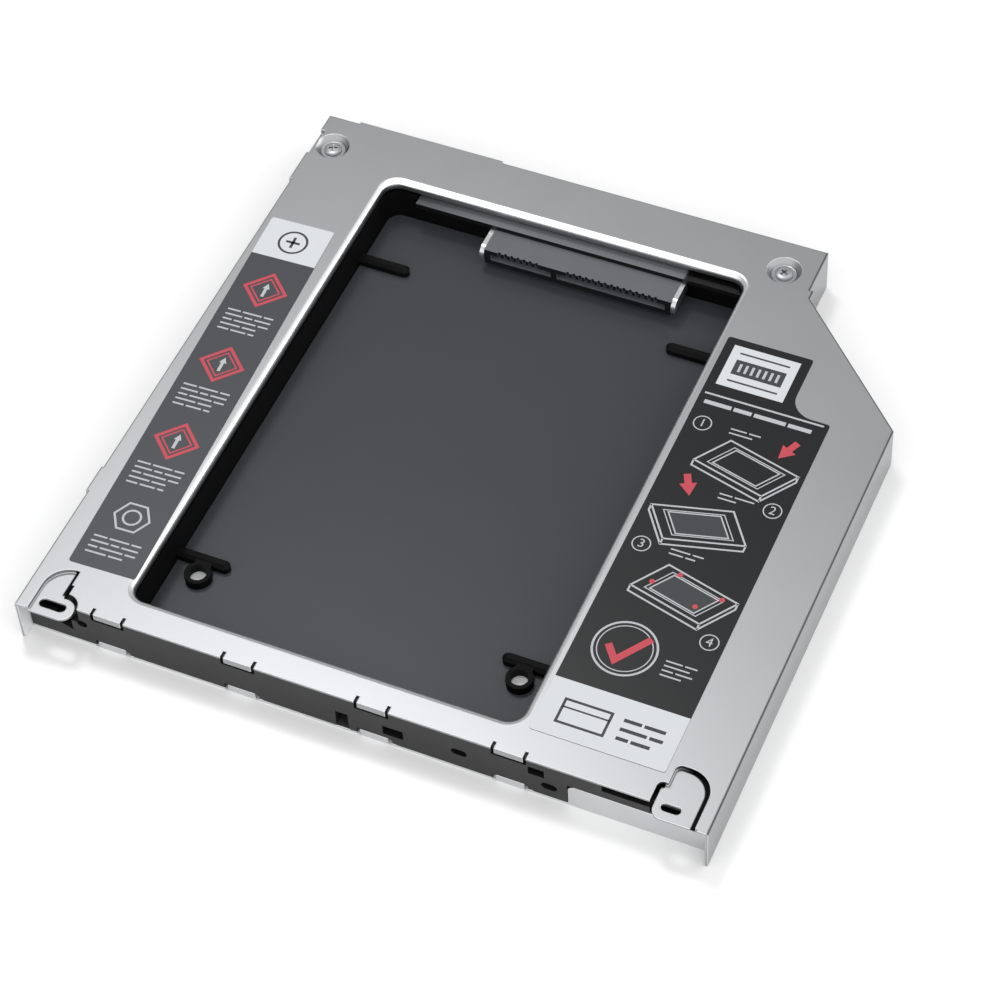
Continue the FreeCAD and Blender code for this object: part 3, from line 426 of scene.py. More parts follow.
def blasted_metal(name, face, edge, bay_shade=0.0):
    """Matt blasted sheet with bright cut edges, and painted shade of bay_shade where it lies under the bay.
    """
    metal = Finish(name, metallic=1.0)
    clouds = metal.grain(CLOUD_SIZE)
    rounded = metal.soft_edges(SHEET_ROUNDING)
    faces_up = metal.facing((0, 0, 1), "Normal")
    faces_right = metal.facing((1, 0, 0), "Normal")
    window_fold_highlight, wing_fold_shade = fold_masks(metal, faces_up)
    # bright cut edges, plus the painted highlight on the fold round the window
    bare_edge_and_fold_highlight = metal.edge_mask(rounded, SHEET_EDGE_GAIN).at_least(window_fold_highlight) * (1 - wing_fold_shade)
    # painted highlight: the inner face of the left wall's end is made pale and matt
    left_end_highlight = faces_right.between(*LEFT_END_TURN) * (1 - metal.drawing("X").between(*LEFT_WALL_INSIDE))
    # painted shade on the bottom cover where it shows past the film
    under_bay_shade = faces_up.between(*TURNED_TO) * metal.drawing("Y").between(*UNDER_BAY_FRONT)
    shade = ear_shade(metal).at_least(under_bay_shade * bay_shade)
    sheet = metal.blend(clouds, shifted_tone(face, -CLOUD_STEP), shifted_tone(face, CLOUD_STEP))
    # painted shade along the fold of the outer wing
    sheet = metal.blend(wing_fold_shade, sheet, FOLD_SHADE_DARK)
    # the edge colour serves the bare cut edges and the painted highlights
    sheet = metal.blend(bare_edge_and_fold_highlight.at_least(left_end_highlight), sheet, tone(*edge))
    metal.wear(base_color=metal.blend(shade, sheet, SHADE_DARK),
               metallic=1.0 - LEFT_END_HIGHLIGHT_METAL_LOSS * left_end_highlight,
               roughness=SHEET_ROUGHNESS + CLOUD_ROUGHER * clouds - EDGE_SMOOTHER * bare_edge_and_fold_highlight)
    metal.relief(metal.grain(DENT_SIZE, 3.0), DENT_DEPTH, rounded)
    return metal


cover_metal = blasted_metal("blasted_cover_metal", (166, 167, 169), (244, 245, 246))
base_metal = blasted_metal("blasted_base_metal", (210, 211, 213), (238, 239, 241), 0.9)
dress(cover_metal, "top_cover")
dress(base_metal, "bottom_cover")

# %% [markdown]
# ## The mouldings
# The inner frame, the socket and the plug are injection moulded. A moulding has a spark-eroded grain, which
# is a shallow noise, and its corners catch light because they are slightly round. The socket is grey, and
# its front with the ways is painted nearly black as shade, while its top stays grey.

# %% Moulded plastics
PATCH_SIZE, PATCH_STEP = 6.0, 3
PATCH_ROUGHER = 0.08
CORNER_ROUNDING, CORNER_GAIN = 0.08, 6.0
RUBBED_STEP, RUBBED_SHARE = 22, 0.6
GRAIN_DEPTH = 0.006
FRONT_SHADE_DARK = tone(8, 8, 9)


def moulded(name, colour, grain_size, gloss, shine=0.5, front_shade=0.0):
    """Moulded plastic with a fine grain and softly worn edges; front_shade paints shade on its front faces.
    """
    plastic = Finish(name, specular_ior_level=shine)
    patches = plastic.grain(PATCH_SIZE)
    rounded = plastic.soft_edges(CORNER_ROUNDING)
    rubbed = plastic.edge_mask(rounded, CORNER_GAIN)
    body = plastic.blend(patches, shifted_tone(colour, -PATCH_STEP), shifted_tone(colour, PATCH_STEP))
    # painted shade: faces turned to the front are darkened by front_shade
    body = plastic.blend(plastic.facing((0, -1, 0)).between(*TURNED_TO) * front_shade, body, FRONT_SHADE_DARK)
    plastic.wear(base_color=plastic.blend(rubbed * RUBBED_SHARE, body, shifted_tone(colour, RUBBED_STEP)),
                 roughness=gloss + PATCH_ROUGHER * patches)
    plastic.relief(plastic.grain(grain_size), GRAIN_DEPTH, rounded)
    return plastic


frame_plastic = moulded("moulded_frame_black", (15, 15, 16), 0.18, 0.42)
socket_plastic = moulded("moulded_socket_grey", (99, 101, 105), 0.12, 0.36, 0.22, 0.96)
dress(socket_plastic, "drive_socket", "slim_plug")

# %% [markdown]
# ## The matt, shaded inside of the frame
# The front bar has a half-gloss skin, but the bay's walls and fingers are duller, and their colour is
# painted darker as the shade of the deep bay. How strongly a plastic shines is one number for a whole
# shader, so the frame has two shaders, and a mask along its depth mixes them just behind the bar.

# %% Two shaders in one moulding
BAR_BACK = (4.0, 6.0)

# a duller skin for the bay, whose darker colour is painted shade
matt_shaded_inside = frame_plastic.node("ShaderNodeBsdfPrincipled", None, {
    "Base Color": tone(7, 7, 8), "Roughness": 0.6, "Specular IOR Level": 0.12})
bar_skin = Wire(frame_plastic, frame_plastic.shader.outputs[0])
both_skins = frame_plastic.node("ShaderNodeMixShader", None, {
    0: frame_plastic.drawing("Y").between(*BAR_BACK), 1: bar_skin, 2: matt_shaded_inside})
frame_plastic.feed(frame_plastic.tree.nodes["Material Output"].inputs["Surface"], both_skins)
dress(frame_plastic, "inner_frame")

# %% [markdown]
# ## The film in the bay
# The bay's floor is a sheet of dark insulating film over the bottom cover. It is half gloss: it mirrors the
# fingers and the walls, but softly. A mirror could come from a lower roughness alone, but real film is never
# flat, so a long shallow wave in its surface bends what it mirrors.

# %% Insulating film
film = Finish("insulating_film", specular_ior_level=0.2)
film_waves = film.grain(22.0, 1.0)
film_specks = film.grain(0.35, 2.0)
film.wear(base_color=film.blend(film_waves, tone(61, 63, 67), tone(63, 65, 69)),
          roughness=0.26 + 0.08 * film_specks)
film.relief(film_waves + film_specks * 0.02, 0.06)
dress(film, "bay_film")

# %% [markdown]
# ## The adapter board and its parts
# The board is fibreglass under a dark solder mask, so the glass weave shows as a faint crossed pattern. It
# lies under the rear rim, whose shade is painted on it, deepening towards the left end. Past the socket the
# board is black, and its sawn front edge is painted black as shade, which draws a dark seam behind the
# socket.

# %% Board and capacitors
WEAVE = {"Scale": 0.35, "Distortion": 0.6}
BOARD_GREYS = (tone(106, 107, 110), tone(114, 115, 118))
BOARD_LEFT_SHADE = tone(56, 57, 60)
BOARD_END_BLACK_AND_EDGE_SHADE = tone(10, 10, 11)
LEFT_SHADE_ENDS = (14.0, 42.0)
PAST_SOCKET = (78.6, 79.4)

board = Finish("board_mask", specular_ior_level=0.3)
warp, weft = [board.node("ShaderNodeTexWave", {"bands_direction": way}, {"Vector": board.place(), **WEAVE})
              for way in "XY"]
weave = warp * 0.5 + weft * 0.5
board_face = board.blend(weave, *BOARD_GREYS)
# painted shade from the rear rim, deepening towards the left end
board_face = board.blend(board.drawing("X").between(*LEFT_SHADE_ENDS), BOARD_LEFT_SHADE, board_face)
board_end = board.drawing("X").between(*PAST_SOCKET)
# painted shade on the board's front edge faces
board_front_shade = board.facing((0, -1, 0)).between(*TURNED_TO)
board_face = board.blend(board_end.at_least(board_front_shade), board_face, BOARD_END_BLACK_AND_EDGE_SHADE)
board.wear(base_color=board_face, roughness=0.36 + 0.06 * weave)
board.relief(weave, 0.01)
dress(board, "adapter_board")

capacitor = Finish("capacitor_body", specular_ior_level=0.5)
capacitor_grain = capacitor.grain(0.3)
capacitor.wear(base_color=capacitor.blend(capacitor_grain, tone(142, 118, 90), tone(158, 134, 104)),
               roughness=0.4 + 0.1 * capacitor_grain)
dress(capacitor, "board_capacitors")

# %% [markdown]
# ## Contacts and lugs
# The contacts are gold flashed strips that are wiped along their length, and the socket's end lugs are
# bright tinned sheet. Both are metals, and a noise stretched along the piece varies their gloss.

# %% Contacts and lugs
contact = Finish("gold_flash", metallic=1.0)
contact_wipe = contact.grain(0.5, 2.0, (1.0, 0.2, 1.0))
contact.wear(base_color=contact.blend(contact_wipe, tone(214, 178, 104), tone(232, 200, 132)),
             roughness=0.22 + 0.12 * contact_wipe)
dress(contact, "socket_signal_contacts", "socket_power_contacts",
      "plug_signal_contacts", "plug_power_contacts")

lug = Finish("tinned_lug", metallic=1.0)
lug_grain = lug.grain(0.4, 2.0, (1.0, 0.3, 1.0))
lug_colour = lug.blend(lug_grain, tone(196, 198, 200), tone(214, 216, 218))
lug.wear(base_color=lug_colour, roughness=0.28 + 0.1 * lug_grain)
lug.relief(lug_grain, 0.004, lug.soft_edges(0.06))
dress(lug, "socket_lug_left", "socket_lug_right")

# %% [markdown]
# ## The screws
# The CAD screws are plain turned blanks. A real one has a cross recess, which is what the eye finds first.
# A lathe profile makes the head and shank, and a tapered cross is cut out of the head with a Boolean, as a
# punch does it. The cut mesh is kept and the modifier isn't, so the screw stays a plain piece.

# %% Turned blanks
SCREW_SIDES = 40


def lathe(profile, sides=SCREW_SIDES):
    """A closed mesh turned about Z from points of radius and height, the first and last on the axis."""
    made = bmesh.new()
    rings = []
    for radius, height in profile:
        if radius == 0:
            rings.append([made.verts.new((0, 0, height * MM))])
            continue
        angles = [2 * math.pi * step / sides for step in range(sides)]
        ring = [(radius * MM * math.cos(angle), radius * MM * math.sin(angle), height * MM)
                for angle in angles]
        rings.append([made.verts.new(place) for place in ring])
    for lower, upper in zip(rings, rings[1:]):
        for step in range(sides):
            after = (step + 1) % sides
            corners = [lower[step % len(lower)], lower[after % len(lower)],
                       upper[after % len(upper)], upper[step % len(upper)]]
            made.faces.new(list(dict.fromkeys(corners)))
    bmesh.ops.recalc_face_normals(made, faces=made.faces)
    return made


def as_object(made, name):
    """A bmesh as a linked object."""
    mesh = bpy.data.meshes.new(name)
    made.to_mesh(mesh)
    made.free()
    item = bpy.data.objects.new(name, mesh)
    bpy.context.collection.objects.link(item)
    return item


# %% [markdown]
# ## The punch
# A cross recess narrows towards its floor, so that a driver wedges in it. The punch is two crossing bars
# that get smaller downward. A Boolean cuts them out of the head, which leaves the recess with flat walls
# and a flat floor, and the rest of the head untouched.

# %% The punch for a cross recess
RECESS_REACH, RECESS_WIDTH = 1.05, 0.42
PUNCH_ABOVE = 0.2
PUNCH_TIP = 0.45
ARM_TAPER = 0.4


def cross_cutter(top, depth):
    """A tapered cross in millimetres that starts above top and ends depth below it."""
    made = bmesh.new()
    for quarter in (0, 1):
        ends = []
        for height, shrink in ((top + PUNCH_ABOVE, 1.0), (top - depth, PUNCH_TIP)):
            for side, along in ((-1, -1), (1, -1), (1, 1), (-1, 1)):
                across = side * RECESS_WIDTH / 2 * (1 - ARM_TAPER + ARM_TAPER * shrink)
                forward = along * RECESS_REACH * shrink
                place = (forward, across) if quarter else (across, forward)
                ends.append(made.verts.new((place[0] * MM, place[1] * MM, height * MM)))
        lid, floor = ends[:4], ends[4:]
        made.faces.new(lid)
        made.faces.new(floor)
        for step in range(4):
            after = (step + 1) % 4
            made.faces.new((lid[step], lid[after], floor[after], floor[step]))
    bmesh.ops.recalc_face_normals(made, faces=made.faces)
    return made


def punched_screw(name, profile, top, depth):
    """A turned screw with a cross recess in its head."""
    screw = as_object(lathe(profile), name)
    punch = as_object(cross_cutter(top, depth), name + "_punch")
    cut = screw.modifiers.new("recess", "BOOLEAN")
    cut.operation = "DIFFERENCE"
    cut.solver = "EXACT"
    cut.use_self = True
    cut.object = punch
    view_layer = bpy.context.evaluated_depsgraph_get()
    cut_mesh = bpy.data.meshes.new_from_object(screw.evaluated_get(view_layer))
    screw.modifiers.clear()
    screw.data = cut_mesh
    bpy.data.objects.remove(punch)
    return screw


# %% [markdown]
# ## The zinc on the screws
# Small screws are zinc plated in a tumbling drum, which leaves tiny marks on them. A fine noise varies the
# colour and the gloss a little and tilts the surface, and the edges are rounded in the shading only.

# %% Screw finish
screw_metal = Finish("zinc_screw", metallic=1.0)
screw_marks = screw_metal.grain(0.25, 3.0)
screw_metal.wear(base_color=screw_metal.blend(screw_marks, tone(168, 170, 172), tone(196, 198, 200)),
                 roughness=0.26 + 0.14 * screw_marks)
screw_metal.relief(screw_marks, 0.006, screw_metal.soft_edges(0.05))

# %% [markdown]
# ## Seating the screws
# Each screw takes the place of its CAD blank: the head's top or flush face decides its height. A hand
# tightens screws to any angle, so each cross has its own turn. The four screws of the bottom cover are
# countersunk and point up, so they are turned over.

# %% Screw places
TOP_SCREW = dict(profile=[(0, -4.6), (0.55, -4.6), (0.72, -4.2), (0.72, 0), (1.66, 0), (1.68, 0.35),
                          (1.52, 0.62), (1.1, 0.76), (0, 0.8)], top=0.8, depth=0.75)
BASE_SCREW = dict(profile=[(0, -4.4), (0.6, -4.4), (0.78, -4.0), (0.78, -0.5), (1.72, -0.02),
                           (1.66, 0), (0, 0)], top=0.0, depth=0.7)
TOP_SCREW_TURNS = dict(rear_screw_left=20, rear_screw_right=62, board_screw_left=35, board_screw_right=75)
BASE_SCREW_TURNS = dict(bottom_screw_front_left=10, bottom_screw_front_right=50,
                        bottom_screw_rear_left=80, bottom_screw_rear_right=33)


def seat_screw(node, form, turn_degrees, point_down):
    """Puts a punched screw where its CAD blank is."""
    low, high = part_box(node)
    screw = punched_screw("cross_" + node, **form)
    seat = high[2] - form["top"] * MM
    if not point_down:
        screw.data.transform(Matrix.Rotation(math.pi, 4, "X"))
        seat = low[2] + form["top"] * MM
    middle = (Vector(low) + Vector(high)) / 2
    spin = Matrix.Rotation(math.radians(turn_degrees), 4, "Z")
    screw.data.transform(Matrix.Translation((middle.x, middle.y, seat)) @ spin)
    screw.data.materials.clear()
    screw.data.materials.append(screw_metal.material)
    for face in screw.data.polygons:
        face.use_smooth = False
    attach(screw, "root")
    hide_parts(node)


for node, angle in TOP_SCREW_TURNS.items():
    seat_screw(node, TOP_SCREW, angle, point_down=True)
for node, angle in BASE_SCREW_TURNS.items():
    seat_screw(node, BASE_SCREW, angle, point_down=False)
print(len(TOP_SCREW_TURNS) + len(BASE_SCREW_TURNS), "screws punched")

# %% [markdown]
# ## The printed labels
# Two black labels carry fitting hints in silver, white and red. The drawings here are a generic set made
# for this model: trays, arrows, diamonds, a nut, a tick, the numbers 1 to 4, and short bars in place of
# small print. A print is a thin layer of ink, so each label is one flat sheet with its ink shapes as faces a
# few microns above it, each with its own material slot. That keeps every line crisp at any distance, which
# a texture wouldn't.

# %% Strokes and shapes in ink
SHEET_BOTTOM, SHEET_TOP = 9.404, 9.488
INK_RISE = 0.003
SHEET, SILVER, PALE, RED, DARK = range(5)
SHEET_LAYER, PANEL_LAYER, LINE_LAYER, TOP_LAYER = range(4)
MITRE_LIMIT = 0.35
RING_STEP = 9
DOT_SIDES = 24
ARROW_HEAD, ARROW_SPREAD = 2.2, 1.1


class Ink:
    """Ink shapes in millimetres on the caddy's plan, face by face."""

    def __init__(self, base):
        self.base = base
        self.made = bmesh.new()

    def place(self, x, y, layer):
        return self.base @ Vector((x * MM, y * MM, (SHEET_TOP + layer * INK_RISE) * MM))

    def area(self, points, ink, layer):
        """A filled shape."""
        face = self.made.faces.new([self.made.verts.new(self.place(x, y, layer)) for x, y in points])
        face.material_index = ink
        if face.calc_area() and face.normal.z < 0:
            face.normal_flip()
        return face

    def line(self, points, ink, width, layer=LINE_LAYER, closed=False):
        """A stroke along points with mitred corners."""
        count = len(points)
        path = [Vector(point) for point in points]
        sides = []
        for step, point in enumerate(path):
            before = path[step - 1] if (step or closed) else None
            after = path[(step + 1) % count] if (step < count - 1 or closed) else None
            ways = [way.normalized() for way in (point - before if before is not None else None,
                                                 after - point if after is not None else None) if way]
            along = sum(ways, Vector((0, 0))).normalized() if len(ways) > 1 else ways[0]
            across = Vector((-along.y, along.x))
            stretch = 1 / max(MITRE_LIMIT, across.dot(Vector((-ways[0].y, ways[0].x))))
            sides.append((point + across * width / 2 * stretch, point - across * width / 2 * stretch))
        last = count if closed else count - 1
        for step in range(last):
            left, right = sides[step]
            next_left, next_right = sides[(step + 1) % count]
            self.area([left, right, next_right, next_left], ink, layer)

    def ring(self, x, y, radius, ink, width):
        """A circle of line."""
        angles = [math.radians(turn) for turn in range(0, 360, RING_STEP)]
        self.line([(x + radius * math.cos(angle), y + radius * math.sin(angle)) for angle in angles],
                  ink, width, closed=True)

    def dot(self, x, y, radius, ink):
        """A filled disc."""
        angles = [2 * math.pi * step / DOT_SIDES for step in range(DOT_SIDES)]
        self.area([(x + radius * math.cos(angle), y + radius * math.sin(angle)) for angle in angles],
                  ink, TOP_LAYER)

    def arrow(self, x, y, angle, length, ink, width):
        """A solid arrow whose middle is at x, y."""
        head = width * ARROW_HEAD
        along = Vector((math.cos(math.radians(angle)), math.sin(math.radians(angle))))
        across = Vector((-along.y, along.x))
        neck = length / 2 - head
        barb = head / 2 * ARROW_SPREAD
        shape = [(-length / 2, -width / 2), (neck, -width / 2), (neck, -barb), (length / 2, 0),
                 (neck, barb), (neck, width / 2), (-length / 2, width / 2)]
        middle = Vector((x, y))
        self.area([middle + along * u + across * v for u, v in shape], ink, TOP_LAYER)


# %% [markdown]
# ## Motifs of the labels
# Some motifs come back several times: a tray drawn in parallel view, rows of short bars for small print,
# and a ringed number. Each is one method of the label, which is built on the plain ink shapes. The numbers
# come from Blender's own font, turned into faces like the rest.

# %% Motifs and the label's stock
TRAY_CORNERS = ((0, 0), (14.0, -3.6), (18.6, 2.8), (4.6, 6.4))
TRAY_WIDE = 18.6
TRAY_DEEP = 1.3
TRAY_RIM, TRAY_FLOOR = 0.74, 0.64
OUTER_LINE, RIM_LINE, FLOOR_LINE = 0.34, 0.2, 0.26
WORD_GAP = 0.45
NUMBER_SIZE, NUMBER_RING, NUMBER_LINE = 2.6, 0.62, 0.22


class LabelSheet(Ink):
    """A label with its stock, its ink and the motifs that come back on it."""

    def __init__(self, name, base):
        super().__init__(base)
        self.name = name

    def tray(self, x, y, ink, floor=None, mirror=False):
        """A thin tray with a double rim and perhaps a filled floor."""
        corners = [Vector((x + (TRAY_WIDE - across if mirror else across), y + up))
                   for across, up in TRAY_CORNERS]
        middle = sum(corners, Vector((0, 0))) / 4
        drop = Vector((0, -TRAY_DEEP))
        floor_edge = [middle + (corner - middle) * TRAY_FLOOR for corner in corners]
        rim_edge = [middle + (corner - middle) * TRAY_RIM for corner in corners]
        if floor is not None:
            self.area(floor_edge, floor, PANEL_LAYER)
        self.line(corners, ink, OUTER_LINE, closed=True)
        self.line(rim_edge, ink, RIM_LINE, closed=True)
        self.line(floor_edge, ink, FLOOR_LINE, closed=True)
        self.line([corners[0], corners[0] + drop, corners[1] + drop, corners[2] + drop, corners[2]],
                  ink, OUTER_LINE)
        self.line([corners[1], corners[1] + drop], ink, OUTER_LINE)

    def words(self, x, y, rows, ink, tall=0.3, pitch=1.0):
        """Rows of short bars that stand for small print, each row a list of bar lengths."""
        for row, lengths in enumerate(rows):
            start = x
            for length in lengths:
                self.line([(start, y - row * pitch), (start + length, y - row * pitch)], ink, tall)
                start += length + WORD_GAP

    def number(self, text, x, y, ink):
        """A plain number in a ring, turned into faces."""
        self.ring(x, y, NUMBER_SIZE * NUMBER_RING, ink, NUMBER_LINE)
        curve = bpy.data.curves.new(self.name + "_number", "FONT")
        curve.body = text
        curve.size = NUMBER_SIZE
        curve.align_x = "CENTER"
        curve.align_y = "CENTER"
        curve.resolution_u = 3
        stand_in = bpy.data.objects.new(self.name + "_number", curve)
        glyph = bpy.data.meshes.new_from_object(stand_in)
        first_vert = len(self.made.verts)
        first_face = len(self.made.faces)
        self.made.from_mesh(glyph)
        self.made.verts.ensure_lookup_table()
        self.made.faces.ensure_lookup_table()
        for vert in self.made.verts[first_vert:]:
            vert.co = self.place(x + vert.co.x, y + vert.co.y, TOP_LAYER)
        for face in self.made.faces[first_face:]:
            face.material_index = ink
        bpy.data.objects.remove(stand_in)

    def sheet(self, outline):
        """The label's own stock: a thin slab below the ink, in an order of faces that each run repeats."""
        rim = list(self.area(outline, SHEET, SHEET_LAYER).verts)
        foot = [self.made.verts.new((vert.co.x, vert.co.y, SHEET_BOTTOM * MM)) for vert in rim]
        self.made.faces.new(foot[::-1])
        for step in range(len(rim)):
            after = (step + 1) % len(rim)
            self.made.faces.new((rim[step], foot[step], foot[after], rim[after]))

    def finish(self, node, inks):
        """Makes the label's object, which replaces its plain CAD node."""
        stock = [face for face in self.made.faces if face.material_index == SHEET]
        bmesh.ops.recalc_face_normals(self.made, faces=stock)
        piece = as_object(self.made, self.name)
        for ink in inks:
            piece.data.materials.append(ink.material)
        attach(piece, "root")
        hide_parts(node)
        print(self.name, len(piece.data.polygons), "faces")
        return piece


# %% [markdown]
# ## Outlines of the labels
# A die cuts each label, and a die has no sharp outer corners. The outline is given by its corner points,
# and the corners that point outward are rounded by a short curve. Inward corners stay as given.

# %% Die-cut outlines
DIE_RADIUS = 0.6
DIE_STEPS = 5
TURNS_OUTWARD = 0.2


def die_cut(points):
    """A closed outline with its convex corners rounded."""
    rounded = []
    count = len(points)
    for step in range(count):
        before, corner, after = [Vector(points[(step + move) % count]) for move in (-1, 0, 1)]
        into = (corner - before).normalized()
        out = (after - corner).normalized()
        if into.cross(out) <= TURNS_OUTWARD:
            rounded.append(tuple(corner))
            continue
        start = corner - into * DIE_RADIUS
        end = corner + out * DIE_RADIUS
        for part in range(DIE_STEPS + 1):
            share = part / DIE_STEPS
            point = (1 - share) ** 2 * start + 2 * share * (1 - share) * corner + share ** 2 * end
            rounded.append(tuple(point))
    return rounded


def block(left, right, front, rear):
    """The four corners of an upright rectangle."""
    return [(left, front), (right, front), (right, rear), (left, rear)]


# %% [markdown]
# ## The inks and the stock
# Inks and label stock are nearly flat colours, and a fine noise gives them the tooth of the stock. Both
# labels are black, but the left one mirrors the pale room, so its stock is painted a paler black: a painted
# reflection.

# %% Label inks
TOOTH_SIZE, TOOTH_STEP, TOOTH_DEPTH = 0.25, 4, 0.003
TOOTH_ROUGHER = 0.08


def ink_finish(name, colour, gloss):
    """Printed ink: nearly flat, with the fine tooth of the label stock under it."""
    ink = Finish(name, specular_ior_level=0.3, metallic=0.0)
    tooth = ink.grain(TOOTH_SIZE)
    low, high = shifted_tone(colour, -TOOTH_STEP), shifted_tone(colour, TOOTH_STEP)
    ink.wear(base_color=ink.blend(tooth, low, high), roughness=gloss + TOOTH_ROUGHER * tooth)
    ink.relief(tooth, TOOTH_DEPTH)
    return ink


# the left stock's paler black is a painted reflection of the pale room
left_stock_with_reflection = ink_finish("left_label_painted_reflection", (68, 70, 75), 0.26)
right_stock = ink_finish("label_black", (24, 25, 27), 0.26)
inks = [
    ink_finish("ink_silver", (207, 210, 213), 0.42),
    ink_finish("ink_pale", (182, 184, 187), 0.42),
    ink_finish("ink_red", (190, 70, 82), 0.42),
    ink_finish("ink_dark", (60, 61, 64), 0.44),
]
print(len(inks), "inks on 2 stocks")

# %% [markdown]
# ## The left label
# A long strip beside the window, stuck on a little askew. A silver panel at its rear holds a screw head,
# and three double diamonds with arrows alternate with small print down to a nut at the front. Places are
# counted from the middle of the strip.

# %% Left label
LEFT_MIDDLE = at(9.25, 55.8, 0)
LEFT_ASKEW = 2.0
HALF_WIDE, HALF_LONG = 6.44, 43.88
LEFT_PANEL_START = 34.2
SIGN_ROW, SIGN_ARM = 38.9, 1.4
DIAMOND_ROWS = (26.0, 6.5, -13.0)
DIAMONDS = ((4.1, 0.62), (2.9, 0.3))
PRINT_COLUMN, PRINT_BELOW_DIAMOND, LAST_PRINT = -4.7, 6.4, -37.2
SMALL_PRINT = ([2.6, 3.8, 1.9], [3.4, 1.6, 3.2], [1.8, 4.4, 2.0], [4.0, 2.7], [2.2, 3.0, 1.2])
PRINT_LOOK = dict(tall=0.36, pitch=1.2)
NUT_ROW, NUT_REACH, NUT_BORE, NUT_LINE = -31.6, 3.4, 1.6, 0.4

left = LabelSheet("left_label_print",
                  Matrix.Translation(LEFT_MIDDLE) @ Matrix.Rotation(math.radians(LEFT_ASKEW), 4, "Z"))
left_outline = die_cut(block(-HALF_WIDE, HALF_WIDE, -HALF_LONG, HALF_LONG))
left_panel = [(-HALF_WIDE, LEFT_PANEL_START), (HALF_WIDE, LEFT_PANEL_START)]
left_panel += [point for point in left_outline if point[1] > LEFT_PANEL_START]
left.sheet(left_outline)
left.area(left_panel, SILVER, PANEL_LAYER)
left.ring(0, SIGN_ROW, 2.7, DARK, 0.45)
left.line([(-SIGN_ARM, SIGN_ROW), (SIGN_ARM, SIGN_ROW)], DARK, 0.55)
left.line([(0, SIGN_ROW - SIGN_ARM), (0, SIGN_ROW + SIGN_ARM)], DARK, 0.55)
for row in DIAMOND_ROWS:
    for reach, width in DIAMONDS:
        left.line([(0, row + reach), (reach, row), (0, row - reach), (-reach, row)], RED, width, closed=True)
    left.arrow(0, row, 90, 3.4, PALE, 0.6)
for row in DIAMOND_ROWS:
    left.words(PRINT_COLUMN, row - PRINT_BELOW_DIAMOND, SMALL_PRINT, PALE, **PRINT_LOOK)
nut_angles = [math.radians(60 * step) for step in range(6)]
left.line([(NUT_REACH * math.cos(angle), NUT_ROW + NUT_REACH * math.sin(angle)) for angle in nut_angles],
          PALE, NUT_LINE, closed=True)
left.ring(0, NUT_ROW, NUT_BORE, PALE, NUT_LINE)
left.words(PRINT_COLUMN, LAST_PRINT, SMALL_PRINT[:4], PALE, **PRINT_LOOK)
left_piece = left.finish("left_label", [left_stock_with_reflection] + inks)

# %% [markdown]
# ## The right label
# A wide strip with a narrower head, joined by a hollow curve that clears the cut corner. Its head has a
# silver panel with a connector's row of contacts, and a rule with a heading of bars below it. A second
# silver panel ends it at the front. Places are as on the drawing.

# %% Right label and its panels
LABEL_LEFT, LABEL_RIGHT, LABEL_FRONT, LABEL_REAR = 92.82, 117.18, 8.62, 102.18
NECK, SHOULDER, SWEEP = 109.2, 88.7, 4.5
PANEL_REAR = 20.2
WAYS, WAY_START, WAY_PITCH = 7, 97.4, 1.2

sweep_angles = [math.radians(turn) for turn in range(0, 91, 10)]
hollow = [(NECK + SWEEP - SWEEP * math.sin(angle), SHOULDER + SWEEP - SWEEP * math.cos(angle))
          for angle in sweep_angles]
right = LabelSheet("right_label_print", Matrix.Translation(at(0, 0, 0)))
right_outline = die_cut([(LABEL_LEFT, LABEL_FRONT), (LABEL_RIGHT, LABEL_FRONT), (LABEL_RIGHT, SHOULDER),
                         *hollow, (NECK, LABEL_REAR), (LABEL_LEFT, LABEL_REAR)])
right_panel = [point for point in right_outline if point[1] < PANEL_REAR]
right_panel += [(LABEL_RIGHT, PANEL_REAR), (LABEL_LEFT, PANEL_REAR)]
right.sheet(right_outline)
right.area(right_panel, SILVER, PANEL_LAYER)
right.area(block(94.6, 107.4, 90.6, 100.6), SILVER, PANEL_LAYER)
right.area(block(96.2, 105.8, 93.8, 97.4), DARK, LINE_LAYER)
for way in range(WAYS):
    column = WAY_START + way * WAY_PITCH
    right.line([(column, 94.6), (column, 96.6)], PALE, 0.5, TOP_LAYER)
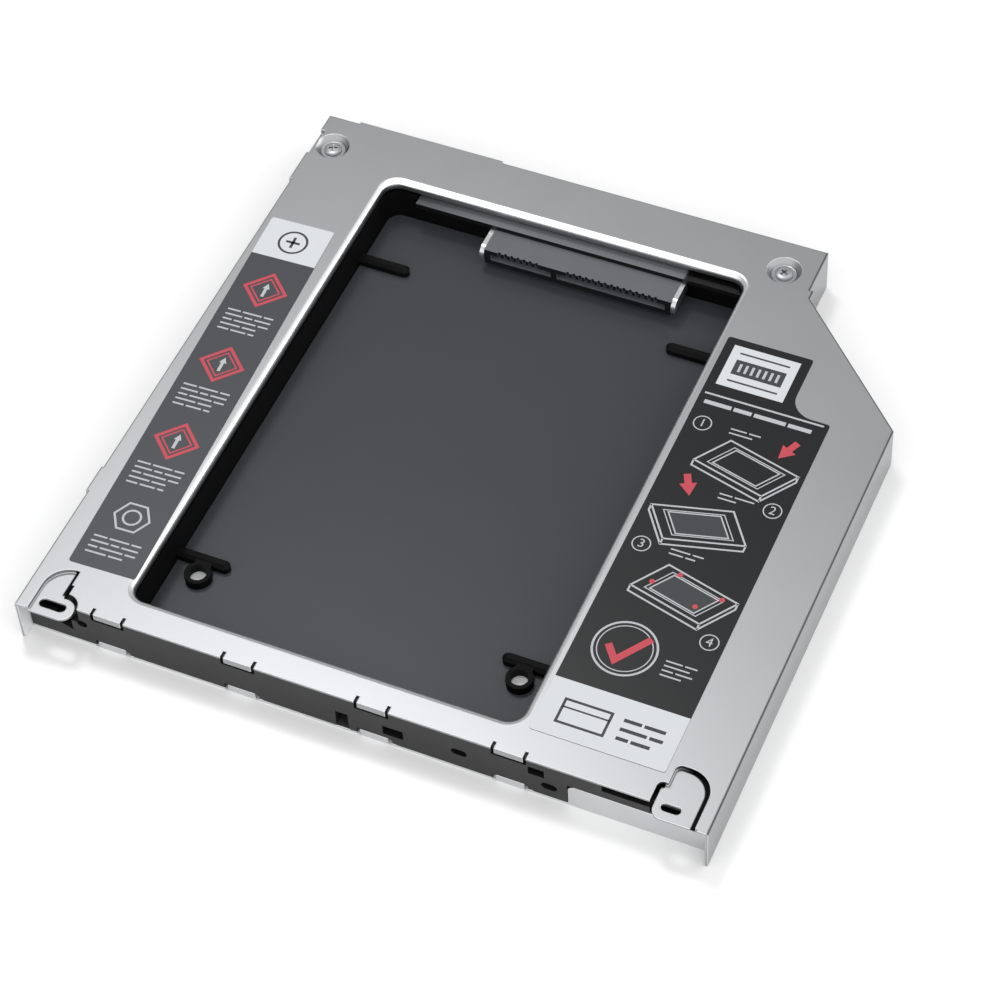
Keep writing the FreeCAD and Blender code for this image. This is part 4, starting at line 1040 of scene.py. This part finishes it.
for row in (99.0, 92.2):
    right.line([(96.2, row), (105.8, row)], DARK, 0.4)
right.line([(93.6, 88.0), (116.2, 88.0)], PALE, 0.4)
right.words(94.2, 86.0, ([5.2, 3.4, 6.0, 4.4],), PALE, 0.9)

# %% [markdown]
# ## The four steps
# The right label tells how the caddy is filled: an open tray, a tray with something in it, the four screws
# in its corners, and a tick. Each step has a ringed number and a few rows of small print. The steps change
# sides on the way down, so each is placed one by one instead of by a loop.

# %% The four steps and the front panel
TRAY_MARKS = ((100.6, 44.6), (109.4, 42.2), (113.2, 45.2), (104.6, 47.6))
TICK_MIDDLE = (101.6, 29.6)

right.number("1", 95.8, 81.0, PALE)
right.tray(97.4, 72.6, PALE)
right.arrow(112.2, 80.4, -115, 5.0, RED, 1.3)
right.words(101.0, 81.6, ([3.0, 2.2], [4.4]), PALE)
right.number("2", 114.4, 66.6, PALE)
right.tray(94.2, 57.6, PALE, DARK, mirror=True)
right.arrow(98.6, 66.8, -65, 5.0, RED, 1.3)
right.words(104.4, 67.0, ([2.4, 3.6], [3.4]), PALE)
right.number("3", 95.8, 51.6, PALE)
right.tray(97.4, 42.6, PALE, DARK)
for mark in TRAY_MARKS:
    right.dot(*mark, 0.5, RED)
right.words(101.0, 52.4, ([3.6, 2.0], [2.6, 1.8]), PALE)
right.number("4", 114.4, 36.0, PALE)
right.ring(*TICK_MIDDLE, 5.6, PALE, 0.4)
right.ring(*TICK_MIDDLE, 4.8, PALE, 0.2)
right.line([(98.6, 29.6), (100.8, 26.8), (105.2, 33.0)], RED, 1.3, TOP_LAYER)
right.words(109.0, 29.8, ([3.0, 2.2], [4.6], [2.0, 3.0], [3.8]), PALE)
right.line([(96.4, 11.6), (96.4, 16.4), (104.8, 16.4), (104.8, 11.6)], DARK, 0.5, closed=True)
right.line([(96.4, 14.8), (104.8, 14.8)], DARK, 0.35)
right.words(107.0, 15.9, ([3.2, 3.8], [4.8, 2.4], [2.2, 3.4]), DARK, 0.7, 1.9)
right_piece = right.finish("right_label", [right_stock] + inks)
